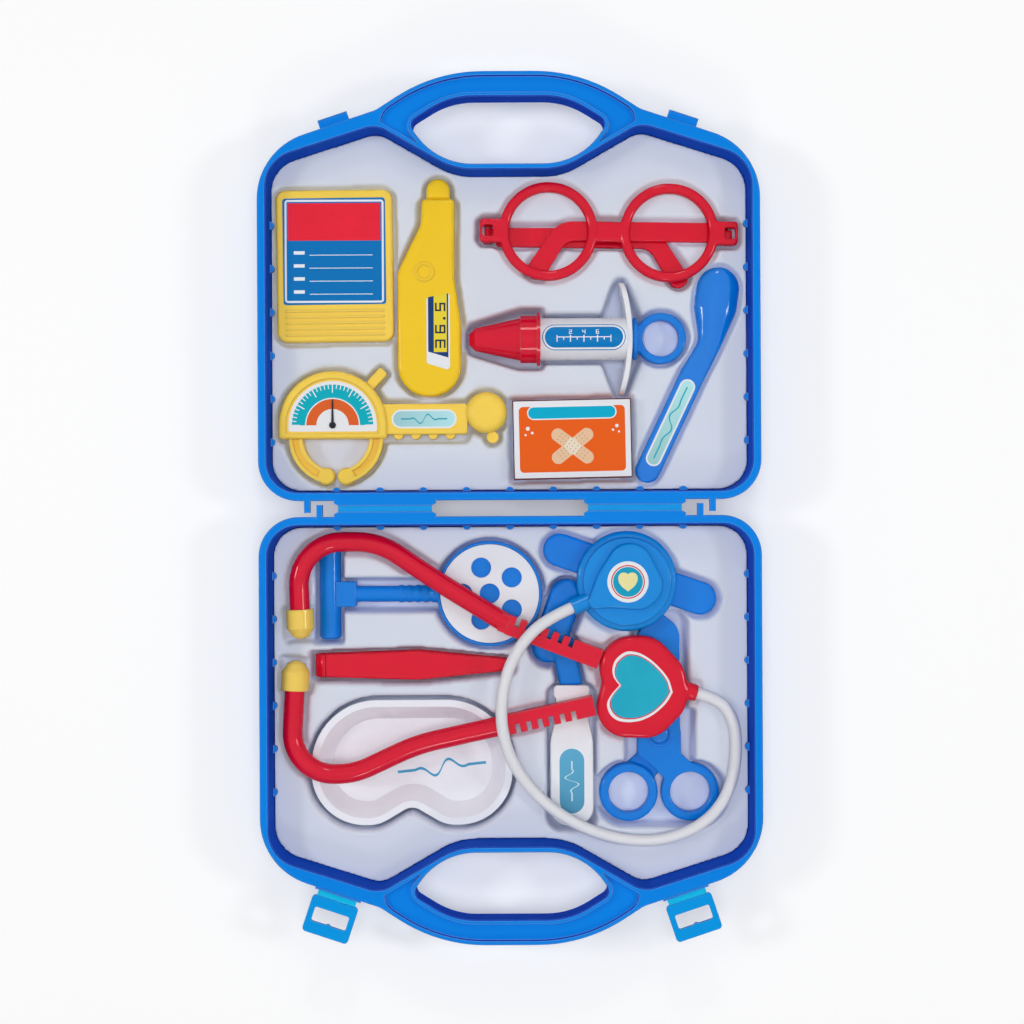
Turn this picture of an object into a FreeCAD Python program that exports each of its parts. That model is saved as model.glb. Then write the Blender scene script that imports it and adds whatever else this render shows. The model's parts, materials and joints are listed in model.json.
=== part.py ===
import FreeCAD, Part
import math
import os
from FreeCAD import Placement, Rotation, Vector

# Toy doctor case, open and flat like a book, with its toy tools.
# X runs along the hinge, +Y into the upper half and +Z up.
# The origin is on the floor, under the middle of the hinge. All lengths are in millimetres.

# Case halves
case_width = 252.0
case_reach = 218.8
case_depth = 34.0
hinge_gap = 8.0
floor_thickness = 2.0
wall_thickness = 2.2
flange_width = 2.2
flange_height = 4.0
rim_round = 0.9
rim_bevel = 0.6
wall_draft = 1.2
base_chamfer = 3.0
closed_gap = 0.3
hinge_corner_radius = 20.0
far_corner_radius = 34.0
cavity_corner_radius = 18.0
cavity_dip_radius = 14.0
cavity_bay_radius = 34.0
handle_root_radius = 12.0
handle_crown_radius = 80.0
handle_depth = 13.0
handle_channel_depth = 2.6
handle_wall = 2.2
opening_tip_radius = 4.5
opening_crown_radius = 40.0
opening_bay_radius = 34.0
# Shares of half the width and of the reach, at the outer edge
far_corner_share = 0.8213
handle_root_shares = (0.524, 0.9127)
handle_crown_share = 0.29
# The same for the cavity and the handle's opening
cavity_corner_share = 0.797
cavity_dip_shares = (0.5238, 0.8775)
cavity_bay_shares = (0.2143, 0.7747)
opening_tip_shares = (0.397, 0.882)
opening_crown_shares = (0.23, 0.9415)
opening_bay_shares = (0.286, 0.788)

# Hinge straps and alignment pegs
strap_start = 37.0
strap_end_inset = 38.0
strap_thickness = 1.8
strap_notch = 2.0
web_half = 1.6
web_thickness = 0.7
web_groove_radius = 0.95
peg_width = 3.0
peg_reach = 6.0
peg_height = 3.0
upper_peg_inset = 24.5
lower_peg_inset = 30.7

# Latches and catches, along and out from the sloping far edge
latch_place_share = 0.69
latch_width = 24.0
latch_length = 23.0
latch_thickness = 2.0
latch_stub = 1.0
latch_web_length = 3.0
latch_web_thickness = 0.6
latch_window_width = 18.0
latch_window_start = 9.5
latch_window_length = 7.5
latch_corner_radius = 2.0
latch_edge = 0.5
latch_nub_width = 3.0
latch_nub_height = 0.8
latch_lip_height = 1.0
latch_lip_width = 2.4
catch_width = 15.5
catch_reach = 5.5
catch_skirt = 2.5
catch_clearance = 1.0

# Trays
tray_sheet = 0.8
tray_fit = 0.5
tray_seat_gap = 0.1
upper_plateau = 20.0
lower_plateau = 18.0
pocket_clearance = 1.2
round_seat_gap = 0.3
nub_radius = 2.0
nub_height = 2.0
nub_gap = 0.3
nub_pitch = 22.0
nub_first = 30.0
label_thickness = 0.25

# Name badge
badge_width = 59.0
badge_height = 77.0
badge_thickness = 7.0
badge_corner = 5.0
badge_edge = 1.5
badge_proud = 3.0
badge_label_width = 52.0
badge_label_height = 54.0
badge_label_rise = 7.2
badge_ridge_count = 5
badge_ridge_pitch = 3.0
badge_ridge_width = 1.1
badge_ridge_height = 0.6
badge_ridge_length = 50.0
badge_ridge_drop = 29.0
badge_angle = 0.5
badge_spot_shares = (-0.701, 0.564)

# Thermometer
thermometer_length = 100.0
thermometer_width = 32.0
thermometer_thickness = 10.0
thermometer_edge = 2.0
thermometer_proud = 4.0
thermometer_tip_length = 10.5
thermometer_tip_width = 12.0
thermometer_tip_thickness = 7.0
thermometer_button_radius = 5.0
thermometer_button_bore = 3.4
thermometer_button_height = 0.6
thermometer_outline_shares = [
    (-0.11, 0.5, 0.07), (-0.13, 0.37, 0.3), (-0.5, 0.13, 0.3), (-0.5, -0.5, 0.49),
    (0.5, -0.5, 0.49), (0.5, -0.12, 0.3), (0.4, 0.1, 0.3), (0.41, 0.5, 0.07)]
thermometer_label_shares = [
    (-0.04, -0.002, 0.05), (-0.04, -0.334, 0.05), (0.33, -0.37, 0.05), (0.33, 0.0236, 0.05)]
thermometer_tip_share = 0.15
thermometer_button_shares = (-0.07, 0.13)
thermometer_spot_shares = (-0.3215, 0.4886)

# Glasses
rim_outer_radius = 25.0
rim_inner_radius = 20.0
rim_thickness = 5.0
rim_edge = 1.8
rim_spacing = 61.5
glasses_proud = 3.0
glasses_width = 131.0
bridge_height = 10.0
bridge_overlap = 3.0
end_piece_height = 12.0
ear_thickness = 3.0
ear_radius = 2.4
knuckle_width = 5.0
knuckle_radius = 1.9
knuckle_clearance = 0.3
pin_radius = 0.9
pin_fit = 0.05
temple_thickness = 3.0
temple_gap = 0.5
temple_length = 106.0
temple_height = 10.0
hinge_inset = 4.0
glasses_angle = -1.0
glasses_spot_shares = (0.404, 0.64)
# Along the folded temple from its hinge, and across it; radii in shares of the height
temple_shares = [
    (0.04, 0.5, 0.1), (0.82, 0.5, 1.4), (1.0, -2.3, 0.5), (0.9, -2.6, 0.5), (0.78, -0.5, 0.8),
    (0.04, -0.5, 0.1)]
temple_offset_shares = (0.1, -0.2)

# Syringe
syringe_axis_drop = 2.5
nozzle_length = 26.0
nozzle_tip_radius = 5.8
nozzle_root_radius = 10.8
nozzle_tip_round = 3.0
collar_length = 10.0
collar_radius = 12.0
collar_lip_radius = 13.6
collar_lip_width = 1.6
barrel_length = 44.0
barrel_radius = 10.75
barrel_bore = 9.2
barrel_face = 2.0
spigot_length = 6.0
spigot_radius = 5.0
spigot_fit = 0.05
finger_span = 57.4
finger_thickness = 2.6
finger_height = 19.0
finger_bow = 4.2
finger_slope = 7.0
plunger_fit = 0.2
piston_gap = 6.0
thumb_collar_length = 2.2
thumb_gap = 0.6
ring_radius = 13.0
ring_bore = 9.2
ring_thickness = 7.0
ring_edge = 1.2
ring_groove_width = 0.8
ring_groove_depth = 0.6
ring_overlap = 2.0
syringe_label_inset = 1.0
syringe_label_width = 13.0
syringe_spot_shares = (0.2069, 0.393)
syringe_anchor_share = 0.42

# Spoon
bowl_top = 17.3
bowl_width = 21.6
bowl_round = 10.7
bowl_shoulder_drop = 4.0
bowl_shoulder_radius = 14.0
bowl_waist_width = 11.8
bowl_waist_drop = 20.8
bowl_waist_radius = 10.0
bowl_height = 5.4
bowl_wall = 1.5
bowl_edge = 3.4
spoon_thickness = 5.0
spoon_handle_length = 66.0
spoon_handle_width = 12.5
spoon_edge = 1.6
spoon_proud = 2.0
spoon_label_width = 8.0
spoon_label_length = 48.0
spoon_angle = -25.5
bowl_angle = -8.0
bowl_spot_shares = (0.838, 0.4785)
spoon_handle_spot_shares = (0.648, 0.196)

# Blood-pressure gauge
dial_radius = 27.5
dial_drop = 6.8
gauge_thickness = 11.0
gauge_edge = 1.6
gauge_proud = 5.0
dial_recess_radius = 23.6
dial_recess_depth = 1.2
dial_label_radius = 22.4
needle_length = 13.0
needle_width = 1.3
needle_thickness = 0.5
needle_hub_radius = 1.7
needle_pin_radius = 0.6
needle_pin_fit = 0.05
needle_gap = 0.15
gauge_tab_reach = 38.0
gauge_tab_width = 5.0
gauge_tab_angle = 47.0
cuff_ring_radius = 24.0
cuff_ring_bore = 17.0
cuff_thickness = 8.0
cuff_groove_width = 3.0
cuff_groove_depth = 2.4
cuff_ball_radius = 4.5
cuff_ball_half_gap = 5.15
arm_length = 44.0
arm_height = 15.5
arm_thickness = 9.0
arm_bump_radius = 2.5
arm_bump_count = 4
bulb_radius = 10.4
bulb_height = 12.0
bulb_edge = 4.0
bulb_nub_radius = 3.0
arm_label_length = 33.0
arm_label_width = 9.6
gauge_spot_shares = (-0.711, 0.1938)
cuff_center_shares = (0.05, -0.22)
bulb_center_shares = (2.83, 0.225)
bulb_nub_shares = (2.945, -0.233)
arm_center_share = 0.11

# Bandage carton
carton_length = 60.0
carton_width = 40.0
carton_height = 14.0
carton_board = 0.7
carton_flap_fit = 0.1
carton_proud = 6.0
carton_angle = 1.0
carton_spot_shares = (0.2516, 0.159)

# Levels in the lower half
low_tool_top = 14.4
tube_level = 15.0

# Reflex hammer
hammer_axis_height = 9.4
hammer_head_radius = 5.4
hammer_head_length = 46.0
hammer_head_edge = 1.2
hammer_collar_length = 8.0
hammer_collar_width = 13.0
hammer_collar_height = 9.4
hammer_handle_radius = 4.1
hammer_handle_length = 43.45
hammer_ridge_count = 5
hammer_ridge_radius = 4.5
hammer_ridge_width = 1.8
hammer_ridge_pitch = 4.2
dish_radius = 27.0
dish_height = 7.4
dish_floor = 3.0
face_radius = 25.3
face_thickness = 2.0
face_sink = 0.6
face_fit = 0.1
face_hole_radius = 5.15
face_hole_ring = 14.0
face_hole_count = 5
hammer_spot_shares = (-0.7357, -0.2)

# Tweezers
tweezers_length = 96.0
tweezers_width = 15.0
tweezers_tip_width = 5.5
tweezers_end_width = 11.8
tweezers_bottom = 3.3
tweezers_arm_thickness = 2.2
tweezers_spot_shares = (-0.755, -0.367)

# Kidney dish
kidney_length = 103.0
kidney_width = 65.0
kidney_bottom = 3.3
kidney_wall = 1.6
kidney_slope = 9.0
kidney_rim_width = 2.0
kidney_rim_height = 1.6
kidney_outline_shares = [
    (-0.5, 0.47, 0.52), (0.5, 0.47, 0.52), (0.5, -0.5, 0.42), (0.17, -0.52, 0.3),
    (0.0, -0.36, 0.12), (-0.17, -0.52, 0.3), (-0.5, -0.5, 0.42)]
kidney_spot_shares = (-0.404, -0.5873)

# Ear scope
scope_length = 72.0
scope_width = 22.0
scope_thickness = 10.8
scope_edge = 2.6
scope_outline_shares = [
    (-0.42, 0.5, 0.1), (-0.42, 0.43, 0.08), (-0.36, 0.4, 0.06), (-0.36, 0.3, 0.5), (-0.5, 0.1, 0.5),
    (-0.5, -0.5, 0.45), (0.5, -0.5, 0.45), (0.5, 0.1, 0.5), (0.36, 0.3, 0.5), (0.36, 0.4, 0.06),
    (0.42, 0.43, 0.08), (0.42, 0.5, 0.1)]
scope_label_length = 35.0
scope_label_width = 14.5
scope_label_share = -0.18
scope_spot_shares = (0.246, -0.5804)
scope_stem_width = 12.0
scope_stem_length = 25.0
scope_stem_thickness = 7.0
scope_stem_lean = 5.0
scope_leaf_length = 45.0
scope_leaf_width = 17.0
scope_leaf_thickness = 8.0
scope_leaf_edge = 2.6
scope_leaf_angle = 70.0
scope_leaf_spot_shares = (0.1913, -0.2655)

# Tongue depressor
depressor_length = 93.0
depressor_width = 17.0
depressor_thickness = 4.0
depressor_edge = 1.2
depressor_angle = -19.3
depressor_spot_shares = (0.486, -0.156)

# Scissors
lever_thickness = 3.3
lever_gap = 0.3
finger_ring_radius = 15.0
finger_ring_bore = 10.3
finger_ring_edge = 1.2
finger_ring_offset = 15.8
finger_ring_drop = 30.0
scissors_swing = 1.6
blade_length = 62.0
blade_width = 21.4
blade_tip_share = 0.12
pivot_boss_radius = 11.2
# Shares of the boss radius and the ring drop at each corner of a lever's shank, and of the ring itself
shank_waist_share = 0.35
shank_flank_shares = (0.55, 0.72)
shank_root_shares = (0.75, 0.85)
shank_crotch_shares = (0.2, 0.6)
pivot_hole_radius = 3.0
rivet_fit = 0.05
rivet_dome_radius = 6.6
rivet_dome_height = 1.4
scissors_spot_shares = (0.603, -0.5311)

# Stethoscope
heart_thickness = 11.0
heart_edge = 2.4
heart_length = 50.0
heart_width = 51.0
heart_outline_shares = [
    (0.5, -0.04, 0.1), (0.44, 0.2, 0.3), (0.16, 0.5, 0.33), (-0.49, 0.5, 0.33), (-0.385, 0.03, 0.03),
    (-0.52, -0.5, 0.3), (0.18, -0.52, 0.33), (0.45, -0.25, 0.3)]
heart_label_shares = [
    (0.345, -0.03, 0.03), (0.3, 0.13, 0.2), (0.12, 0.345, 0.2), (-0.31, 0.345, 0.2), (-0.195, 0.02, 0.01),
    (-0.35, -0.345, 0.2), (0.13, -0.345, 0.2), (0.3, -0.18, 0.2)]
heart_spot_shares = (0.519, -0.414)
tube_radius = 5.0
ear_tip_radius = 7.0
ear_tip_length = 15.0
ear_tip_round = 5.5
flex_height = 8.0
flex_tooth_pitch = 5.8
flex_tooth_gap = 2.4
flex_tooth_depth = 4.5
flex_tooth_count = 6
flex_lap = 4.0
flex_lap_inset = 0.4
upper_tube_shares = [
    (-0.8508, -0.2331), (-0.8611, -0.0765), (-0.5317, -0.0765), (-0.2778, -0.1757), (-0.0125, -0.2699)]
upper_tube_bend_shares = (0.66, 0.3, 0.4)
lower_tube_shares = [
    (-0.873, -0.4205), (-0.8929, -0.6161), (-0.6349, -0.6161), (-0.381, -0.5484), (-0.0125, -0.5023)]
lower_tube_bend_shares = (0.68, 0.26, 0.3)
upper_flex_end_shares = (0.36, -0.352)
lower_flex_end_shares = (0.335, -0.4584)
chest_radius = 25.5
chest_base_height = 6.0
chest_base_edge = 2.0
chest_step = 3.0
chest_top_height = 3.0
chest_cap_height = 4.2
chest_cap_edge = 1.6
chest_cap_shares = [
    (1.16, 0.0, 0.16), (0.66, 0.27, 0.6), (0.04, 0.74, 0.4), (-0.66, 0.7, 0.5), (-0.78, -0.5, 0.5),
    (-0.3, -0.86, 0.5), (0.46, -0.52, 0.6)]
chest_angle = 213.0
chest_label_radius = 10.4
chest_socket_radius = 4.2
chest_inlet_shares = (0.856, -0.107, 0.878)
chest_spot_shares = (0.47, -0.1714)
hose_radius = 3.0
hose_socket_radius = 4.4
heart_socket_shares = (0.428, -0.037, 0.533)
hose_arc_share = 0.45
# The hose's route, from the heart round to the chest piece
hose_route = [
    (94.5, -94.6, 21.0), (105.5, -97.6, 21.2), (113.0, -107.5, 21.4), (114.6, -122.0, 21.4),
    (112.5, -138.5, 21.4), (105.5, -153.5, 21.4), (92.5, -164.0, 21.4), (75.0, -169.5, 21.4),
    (56.0, -168.8, 21.4), (37.5, -163.3, 21.4), (21.0, -153.5, 21.6), (7.5, -140.2, 23.0),
    (-1.5, -124.6, 26.2), (-5.2, -108.0, 29.0), (-4.4, -92.0, 29.4), (0.2, -77.0, 29.4),
    (8.4, -64.4, 28.6), (19.6, -55.6, 26.0), (31.2, -50.6, 24.2)]

# Shared by every cut, and the width of a fine test on heights
overrun = 1.0
tiny = 0.001

half_width = case_width / 2
strap_end = half_width - strap_end_inset
upright = Vector(0, 0, 1)
parts = {}
upper_pockets = []
lower_pockets = []


def turn_points(points):
    """The outline's points counter-clockwise."""
    area = 0.0
    for here, after in zip(points, points[1:] + points[:1]):
        area += here[0] * after[1] - after[0] * here[1]
    return points if area > 0 else points[::-1]


def corner(before, at, after):
    """Unit directions into and out of a corner, and the angle turned there."""
    into = Vector(at[0] - before[0], at[1] - before[1], 0)
    out = Vector(after[0] - at[0], after[1] - at[1], 0)
    lengths = (into.Length, out.Length)
    into.normalize()
    out.normalize()
    turn = math.atan2(into.x * out.y - into.y * out.x, into.dot(out))
    return into, out, turn, lengths


def grow(points, distance):
    """The outline with each side moved out by distance, and its corner radii to match."""
    points = turn_points(list(points))
    grown = []
    for index, at in enumerate(points):
        into, out, turn, lengths = corner(points[index - 1], at, points[(index + 1) % len(points)])
        normals = Vector(into.y + out.y, -into.x - out.x, 0)
        shift = normals * (distance / (1 + into.dot(out)))
        radius = at[2] + distance if turn > 0 else at[2] - distance
        grown.append((at[0] + shift.x, at[1] + shift.y, max(radius, tiny) if at[2] > 0 else 0.0))
    return grown


def outline_wire(points, height):
    """A closed wire of straight sides and tangent corner arcs at a height."""
    points = turn_points(list(points))
    count = len(points)
    corners = [corner(points[i - 1], points[i], points[(i + 1) % count]) for i in range(count)]
    tangents = [points[i][2] * math.tan(abs(corners[i][2]) / 2) for i in range(count)]
    fitted = []
    for i in range(count):
        before = corners[i][3][0] / max(tangents[i] + tangents[i - 1], tiny)
        after = corners[i][3][1] / max(tangents[i] + tangents[(i + 1) % count], tiny)
        tangent = tangents[i] * min(1, before, after)
        fitted.append(tangent if tangent > tiny else 0.0)
    edges = []
    ends = []
    for i in range(count):
        into, out, turn, lengths = corners[i]
        at = Vector(points[i][0], points[i][1], height)
        ends.append((at - into * fitted[i], at, at + out * fitted[i], into, out, turn))
    for i in range(count):
        start, at, finish, into, out, turn = ends[i]
        if fitted[i] > tiny:
            radius = fitted[i] / math.tan(abs(turn) / 2)
            inward = out - into
            inward.normalize()
            middle = at + inward * (radius / math.cos(turn / 2) - radius)
            edges.append(Part.Arc(start, middle, finish).toShape())
        following = ends[(i + 1) % count][0]
        if (following - finish).Length > tiny:
            edges.append(Part.LineSegment(finish, following).toShape())
    return Part.Wire(edges)


def prism(points, low, high):
    return Part.Face(outline_wire(points, low)).extrude(Vector(0, 0, high - low))


def drafted(sections):
    """A solid through (points, height) sections, with straight sides."""
    return Part.makeLoft([outline_wire(points, height) for points, height in sections], True, True)


def rectangle(length, width, radius, center=(0, 0)):
    x, y = center
    return [(x + sx * length / 2, y + sy * width / 2, radius)
            for sx, sy in ((-1, -1), (1, -1), (1, 1), (-1, 1))]


def pill(length, width, center=(0, 0)):
    return rectangle(length, width, width / 2, center)


def disc(radius, center=(0, 0)):
    return rectangle(2 * radius, 2 * radius, radius, center)


def scaled(shares, length, width, across=None):
    """Points from shares of a length (x) and a width (y), with radii in shares of across."""
    across = width if across is None else across
    return [(sx * length, sy * width, sr * across) for sx, sy, sr in shares]


def cylinder(radius, low, high, center=(0, 0)):
    return Part.makeCylinder(radius, high - low, Vector(center[0], center[1], low))


def block(x_low, x_high, y_low, y_high, z_low, z_high):
    return Part.makeBox(x_high - x_low, y_high - y_low, z_high - z_low, Vector(x_low, y_low, z_low))


def soften(shape, height, radius):
    """Rounds every edge that lies at one height."""
    edges = [edge for edge in shape.Edges
             if abs(edge.BoundBox.ZMin - height) < tiny and abs(edge.BoundBox.ZMax - height) < tiny]
    return shape.makeFillet(radius, edges)


def turned(profile):
    """A solid of revolution about X from (x, radius) points."""
    points = [Vector(x, 0, radius) for x, radius in profile]
    points.append(points[0])
    face = Part.Face(Part.makePolygon(points))
    return face.revolve(Vector(0, 0, 0), Vector(1, 0, 0), 360)


def place(shares, turn=0.0, height=0.0):
    return Placement(Vector(shares[0] * half_width, shares[1] * case_reach, height), Rotation(upright, turn))


def placed(shape, where):
    return shape.transformed(where.toMatrix())


def placed_points(points, where):
    moved = [where.multVec(Vector(x, y, 0)) for x, y, radius in points]
    return [(spot.x, spot.y, point[2]) for spot, point in zip(moved, points)]


def pocket(pockets, points, where, floor):
    """Asks the tray for a pocket around an outline, with its floor at a height."""
    pockets.append((placed_points(points, where), floor))


def mirrored(points, side):
    """Both halves of a symmetric outline, on the upper (1) or lower (-1) side of the hinge."""
    left = [(-x, side * y, radius) for x, y, radius in points]
    right = [(x, side * y, radius) for x, y, radius in points[::-1]]
    return left + right


def cavity_points(side):
    inset = wall_thickness + flange_width
    edge = half_width - inset
    return mirrored([
        (edge, hinge_gap / 2 + inset, hinge_corner_radius - inset),
        (edge, cavity_corner_share * case_reach, cavity_corner_radius),
        (cavity_dip_shares[0] * half_width, cavity_dip_shares[1] * case_reach, cavity_dip_radius),
        (cavity_bay_shares[0] * half_width, cavity_bay_shares[1] * case_reach, cavity_bay_radius)], side)


def rim_points(side):
    return mirrored([
        (half_width, hinge_gap / 2, hinge_corner_radius),
        (half_width, far_corner_share * case_reach, far_corner_radius),
        (handle_root_shares[0] * half_width, handle_root_shares[1] * case_reach, handle_root_radius),
        (handle_crown_share * half_width, case_reach, handle_crown_radius)], side)


def handle_points(side):
    root_x = handle_root_shares[0] * half_width
    root_y = handle_root_shares[1] * case_reach
    dip_y = cavity_dip_shares[1] * case_reach
    return mirrored([
        (cavity_bay_shares[0] * half_width, cavity_bay_shares[1] * case_reach, 0.0),
        (root_x, dip_y, 0.0),
        (root_x, root_y, handle_root_radius),
        (handle_crown_share * half_width, case_reach, handle_crown_radius)], side)


def opening_points(side):
    return mirrored([
        (opening_bay_shares[0] * half_width, opening_bay_shares[1] * case_reach, opening_bay_radius),
        (opening_tip_shares[0] * half_width, opening_tip_shares[1] * case_reach, opening_tip_radius),
        (opening_crown_shares[0] * half_width, opening_crown_shares[1] * case_reach, opening_crown_radius)],
        side)


def latch_place(side, hand):
    """Where a latch or catch meets the sloping far edge: X along the edge, Y outwards."""
    corner_x = half_width
    corner_y = far_corner_share * case_reach
    root_x = handle_root_shares[0] * half_width
    root_y = handle_root_shares[1] * case_reach
    along = (corner_x - latch_place_share * half_width) / (corner_x - root_x)
    x = hand * (corner_x + (root_x - corner_x) * along)
    y = side * (corner_y + (root_y - corner_y) * along)
    slope = math.degrees(math.atan2(root_y - corner_y, corner_x - root_x))
    if side > 0:
        return Placement(Vector(x, y, 0), Rotation(upright, -hand * slope))
    return Placement(Vector(x, y, 0), Rotation(upright, 180 + hand * slope))


latch_level = case_depth - flange_height / 2
latch_axis_out = latch_stub + latch_web_length / 2


def catch(side, hand):
    """A skirt under the rim with a hooked nose, which the latch's window drops over."""
    window_low = latch_level + latch_window_start - latch_axis_out
    window_high = window_low + latch_window_length
    mirror_height = 2 * case_depth + closed_gap
    nose_low = mirror_height - window_high + catch_clearance
    nose_high = mirror_height - window_low - catch_clearance
    skirt = block(-catch_width / 2, catch_width / 2, -catch_skirt, 0, nose_low, case_depth - flange_height)
    nose = Part.makePolygon([
        Vector(-catch_width / 2, -catch_skirt, nose_low), Vector(-catch_width / 2, catch_reach, nose_high),
        Vector(-catch_width / 2, catch_reach - catch_skirt / 2, nose_high + catch_clearance / 2),
        Vector(-catch_width / 2, -catch_skirt, nose_high + catch_clearance / 2),
        Vector(-catch_width / 2, -catch_skirt, nose_low)])
    nose = Part.Face(nose).extrude(Vector(catch_width, 0, 0))
    return placed(skirt.fuse(nose), latch_place(side, hand))


def strap_leaf(side, hand):
    """One half of a hinge strap, its ends notched towards the web."""
    edge = hinge_gap / 2 + flange_width
    points = [
        (strap_start, edge, 0.0), (strap_start, web_half + strap_notch / 2, 0.0),
        (strap_start + strap_notch, web_half, 0.0), (strap_end - strap_notch, web_half, 0.0),
        (strap_end, web_half + strap_notch / 2, 0.0), (strap_end, edge, 0.0)]
    points = [(hand * x, side * y, radius) for x, y, radius in points]
    return prism(points, case_depth - strap_thickness, case_depth)


def peg(side, hand, middle):
    """A small alignment peg that reaches across the hinge line."""
    edge = hinge_gap / 2 + flange_width
    y_ends = sorted((side * edge, side * (hinge_gap / 2 - peg_reach)))
    x_low = hand * middle - peg_width / 2
    return block(x_low, x_low + peg_width, y_ends[0], y_ends[1], case_depth - peg_height, case_depth)


def wall_nubs(side, plateau):
    """Small bumps on the inner walls, just above the tray's edge."""
    inset = wall_thickness + flange_width
    lean = wall_draft * (case_depth - plateau) / (case_depth - floor_thickness)
    low = plateau + nub_gap
    nubs = []
    hinge_wall = hinge_gap / 2 + inset + lean
    count = int((half_width - inset - nub_first) / nub_pitch)
    for step in range(-count, count + 1):
        nubs.append(cylinder(nub_radius, low, low + nub_height, (step * nub_pitch, side * hinge_wall)))
    side_wall = half_width - inset - lean
    count = int((cavity_corner_share * case_reach - 2 * nub_first) / nub_pitch)
    for step in range(count + 1):
        reach = side * (hinge_gap / 2 + nub_first + step * nub_pitch)
        for hand in (-1, 1):
            nubs.append(cylinder(nub_radius, low, low + nub_height, (hand * side_wall, reach)))
    return nubs


def case_half(side, plateau):
    cavity = cavity_points(side)
    tub = drafted([
        (grow(cavity, wall_thickness - wall_draft - base_chamfer), 0.0),
        (grow(cavity, wall_thickness - wall_draft), base_chamfer),
        (grow(cavity, wall_thickness), case_depth)])
    rim = prism(rim_points(side), case_depth - flange_height, case_depth)
    rim = soften(rim, case_depth, rim_round)
    handle = prism(handle_points(side), case_depth - handle_depth, case_depth)
    handle = soften(handle, case_depth, rim_round)
    hollow = drafted([(grow(cavity, -wall_draft), floor_thickness), (cavity, case_depth)])
    above = drafted([(grow(cavity, -overrun), case_depth - rim_bevel - overrun),
                     (grow(cavity, rim_bevel + overrun), case_depth + overrun)])
    opening = prism(opening_points(side), case_depth - handle_depth - overrun, case_depth + overrun)
    flare = drafted([(grow(opening_points(side), -overrun), case_depth - rim_bevel - overrun),
                     (grow(opening_points(side), rim_bevel + overrun), case_depth + overrun)])
    opening_rim = prism(grow(opening_points(side), handle_wall), 0.0, case_depth + 2 * overrun)
    tub_rim = prism(grow(cavity, wall_thickness), 0.0, case_depth + 2 * overrun)
    channel_low = case_depth - handle_channel_depth
    channel = prism(grow(handle_points(side), -handle_wall), channel_low, case_depth + overrun)
    channel = channel.cut([opening_rim, tub_rim])
    added = [rim, handle]
    for hand in (-1, 1):
        added.append(strap_leaf(side, hand))
        added.append(peg(side, hand, half_width - (upper_peg_inset if side > 0 else lower_peg_inset)))
        if side > 0:
            added.append(catch(side, hand))
        else:
            stub_low = latch_level - latch_thickness / 2
            stub = block(-latch_width / 2, latch_width / 2, -catch_skirt, latch_stub,
                         stub_low, stub_low + latch_thickness)
            added.append(placed(stub, latch_place(side, hand)))
    shell = tub.fuse(added).cut([hollow, above, opening, flare, channel])
    shell = shell.fuse(wall_nubs(side, plateau))
    return shell.removeSplitter()


def hinge_webs():
    """The thin living hinge between the straps, grooved round the hinge axis."""
    axis_height = case_depth + closed_gap / 2
    top = axis_height - web_groove_radius + web_thickness / 2
    webs = []
    for hand in (-1, 1):
        x_ends = sorted((hand * (strap_start + strap_notch), hand * (strap_end - strap_notch)))
        web = block(x_ends[0], x_ends[1], -web_half, web_half, top - web_thickness, top)
        groove = Part.makeCylinder(web_groove_radius, case_width, Vector(-half_width, 0, axis_height),
                                   Vector(1, 0, 0))
        webs.append(web.cut(groove))
    return Part.makeCompound(webs)


def latch_plate():
    """A latch lying flat, its window and the lip that a finger lifts."""
    low = latch_level - latch_thickness / 2
    high = low + latch_thickness
    start = latch_stub + latch_web_length
    middle = (start + latch_length) / 2
    plate = prism(rectangle(latch_width, latch_length - start, latch_corner_radius, (0, middle)), low, high)
    plate = soften(plate, high, latch_edge)
    window_middle = latch_window_start + latch_window_length / 2
    window = prism(rectangle(latch_window_width, latch_window_length, latch_corner_radius / 2,
                             (0, window_middle)), low - overrun, high + overrun)
    window_end = latch_window_start + latch_window_length
    nub = prism([(-latch_nub_width / 2, window_end, 0.0), (0.0, window_end - latch_nub_height, 0.0),
                 (latch_nub_width / 2, window_end, 0.0)], low, high)
    lip = block(-latch_width / 2 + latch_corner_radius, latch_width / 2 - latch_corner_radius,
                latch_length - latch_lip_width, latch_length, low - latch_lip_height, low)
    return plate.cut(window).fuse([nub, lip]).removeSplitter()


def latch_web():
    low = latch_level - latch_web_thickness / 2
    return block(-latch_width / 2 + latch_corner_radius, latch_width / 2 - latch_corner_radius,
                 latch_stub, latch_stub + latch_web_length, low, low + latch_web_thickness)


def tray(side, plateau, pockets):
    """A thin formed sheet: a plateau, its skirt and the pockets for the tools."""
    cavity = cavity_points(side)
    lean = wall_draft * (case_depth - plateau) / (case_depth - floor_thickness)
    bottom = floor_thickness + tray_seat_gap
    shell = drafted([(grow(cavity, -wall_draft - tray_fit), bottom), (grow(cavity, -lean - tray_fit), plateau)])
    inner = drafted([
        (grow(cavity, -wall_draft - tray_fit - tray_sheet), bottom - tiny),
        (grow(cavity, -lean - tray_fit - tray_sheet), plateau - tray_sheet)])
    whole = shell.copy()
    cups = [prism(grow(points, pocket_clearance + tray_sheet), floor - tray_sheet, plateau - tiny)
            for points, floor in pockets]
    voids = [prism(grow(points, pocket_clearance), floor, plateau + overrun) for points, floor in pockets]
    formed = shell.cut(inner).fuse(cups).common(whole)
    return formed.cut(voids).removeSplitter()


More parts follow.
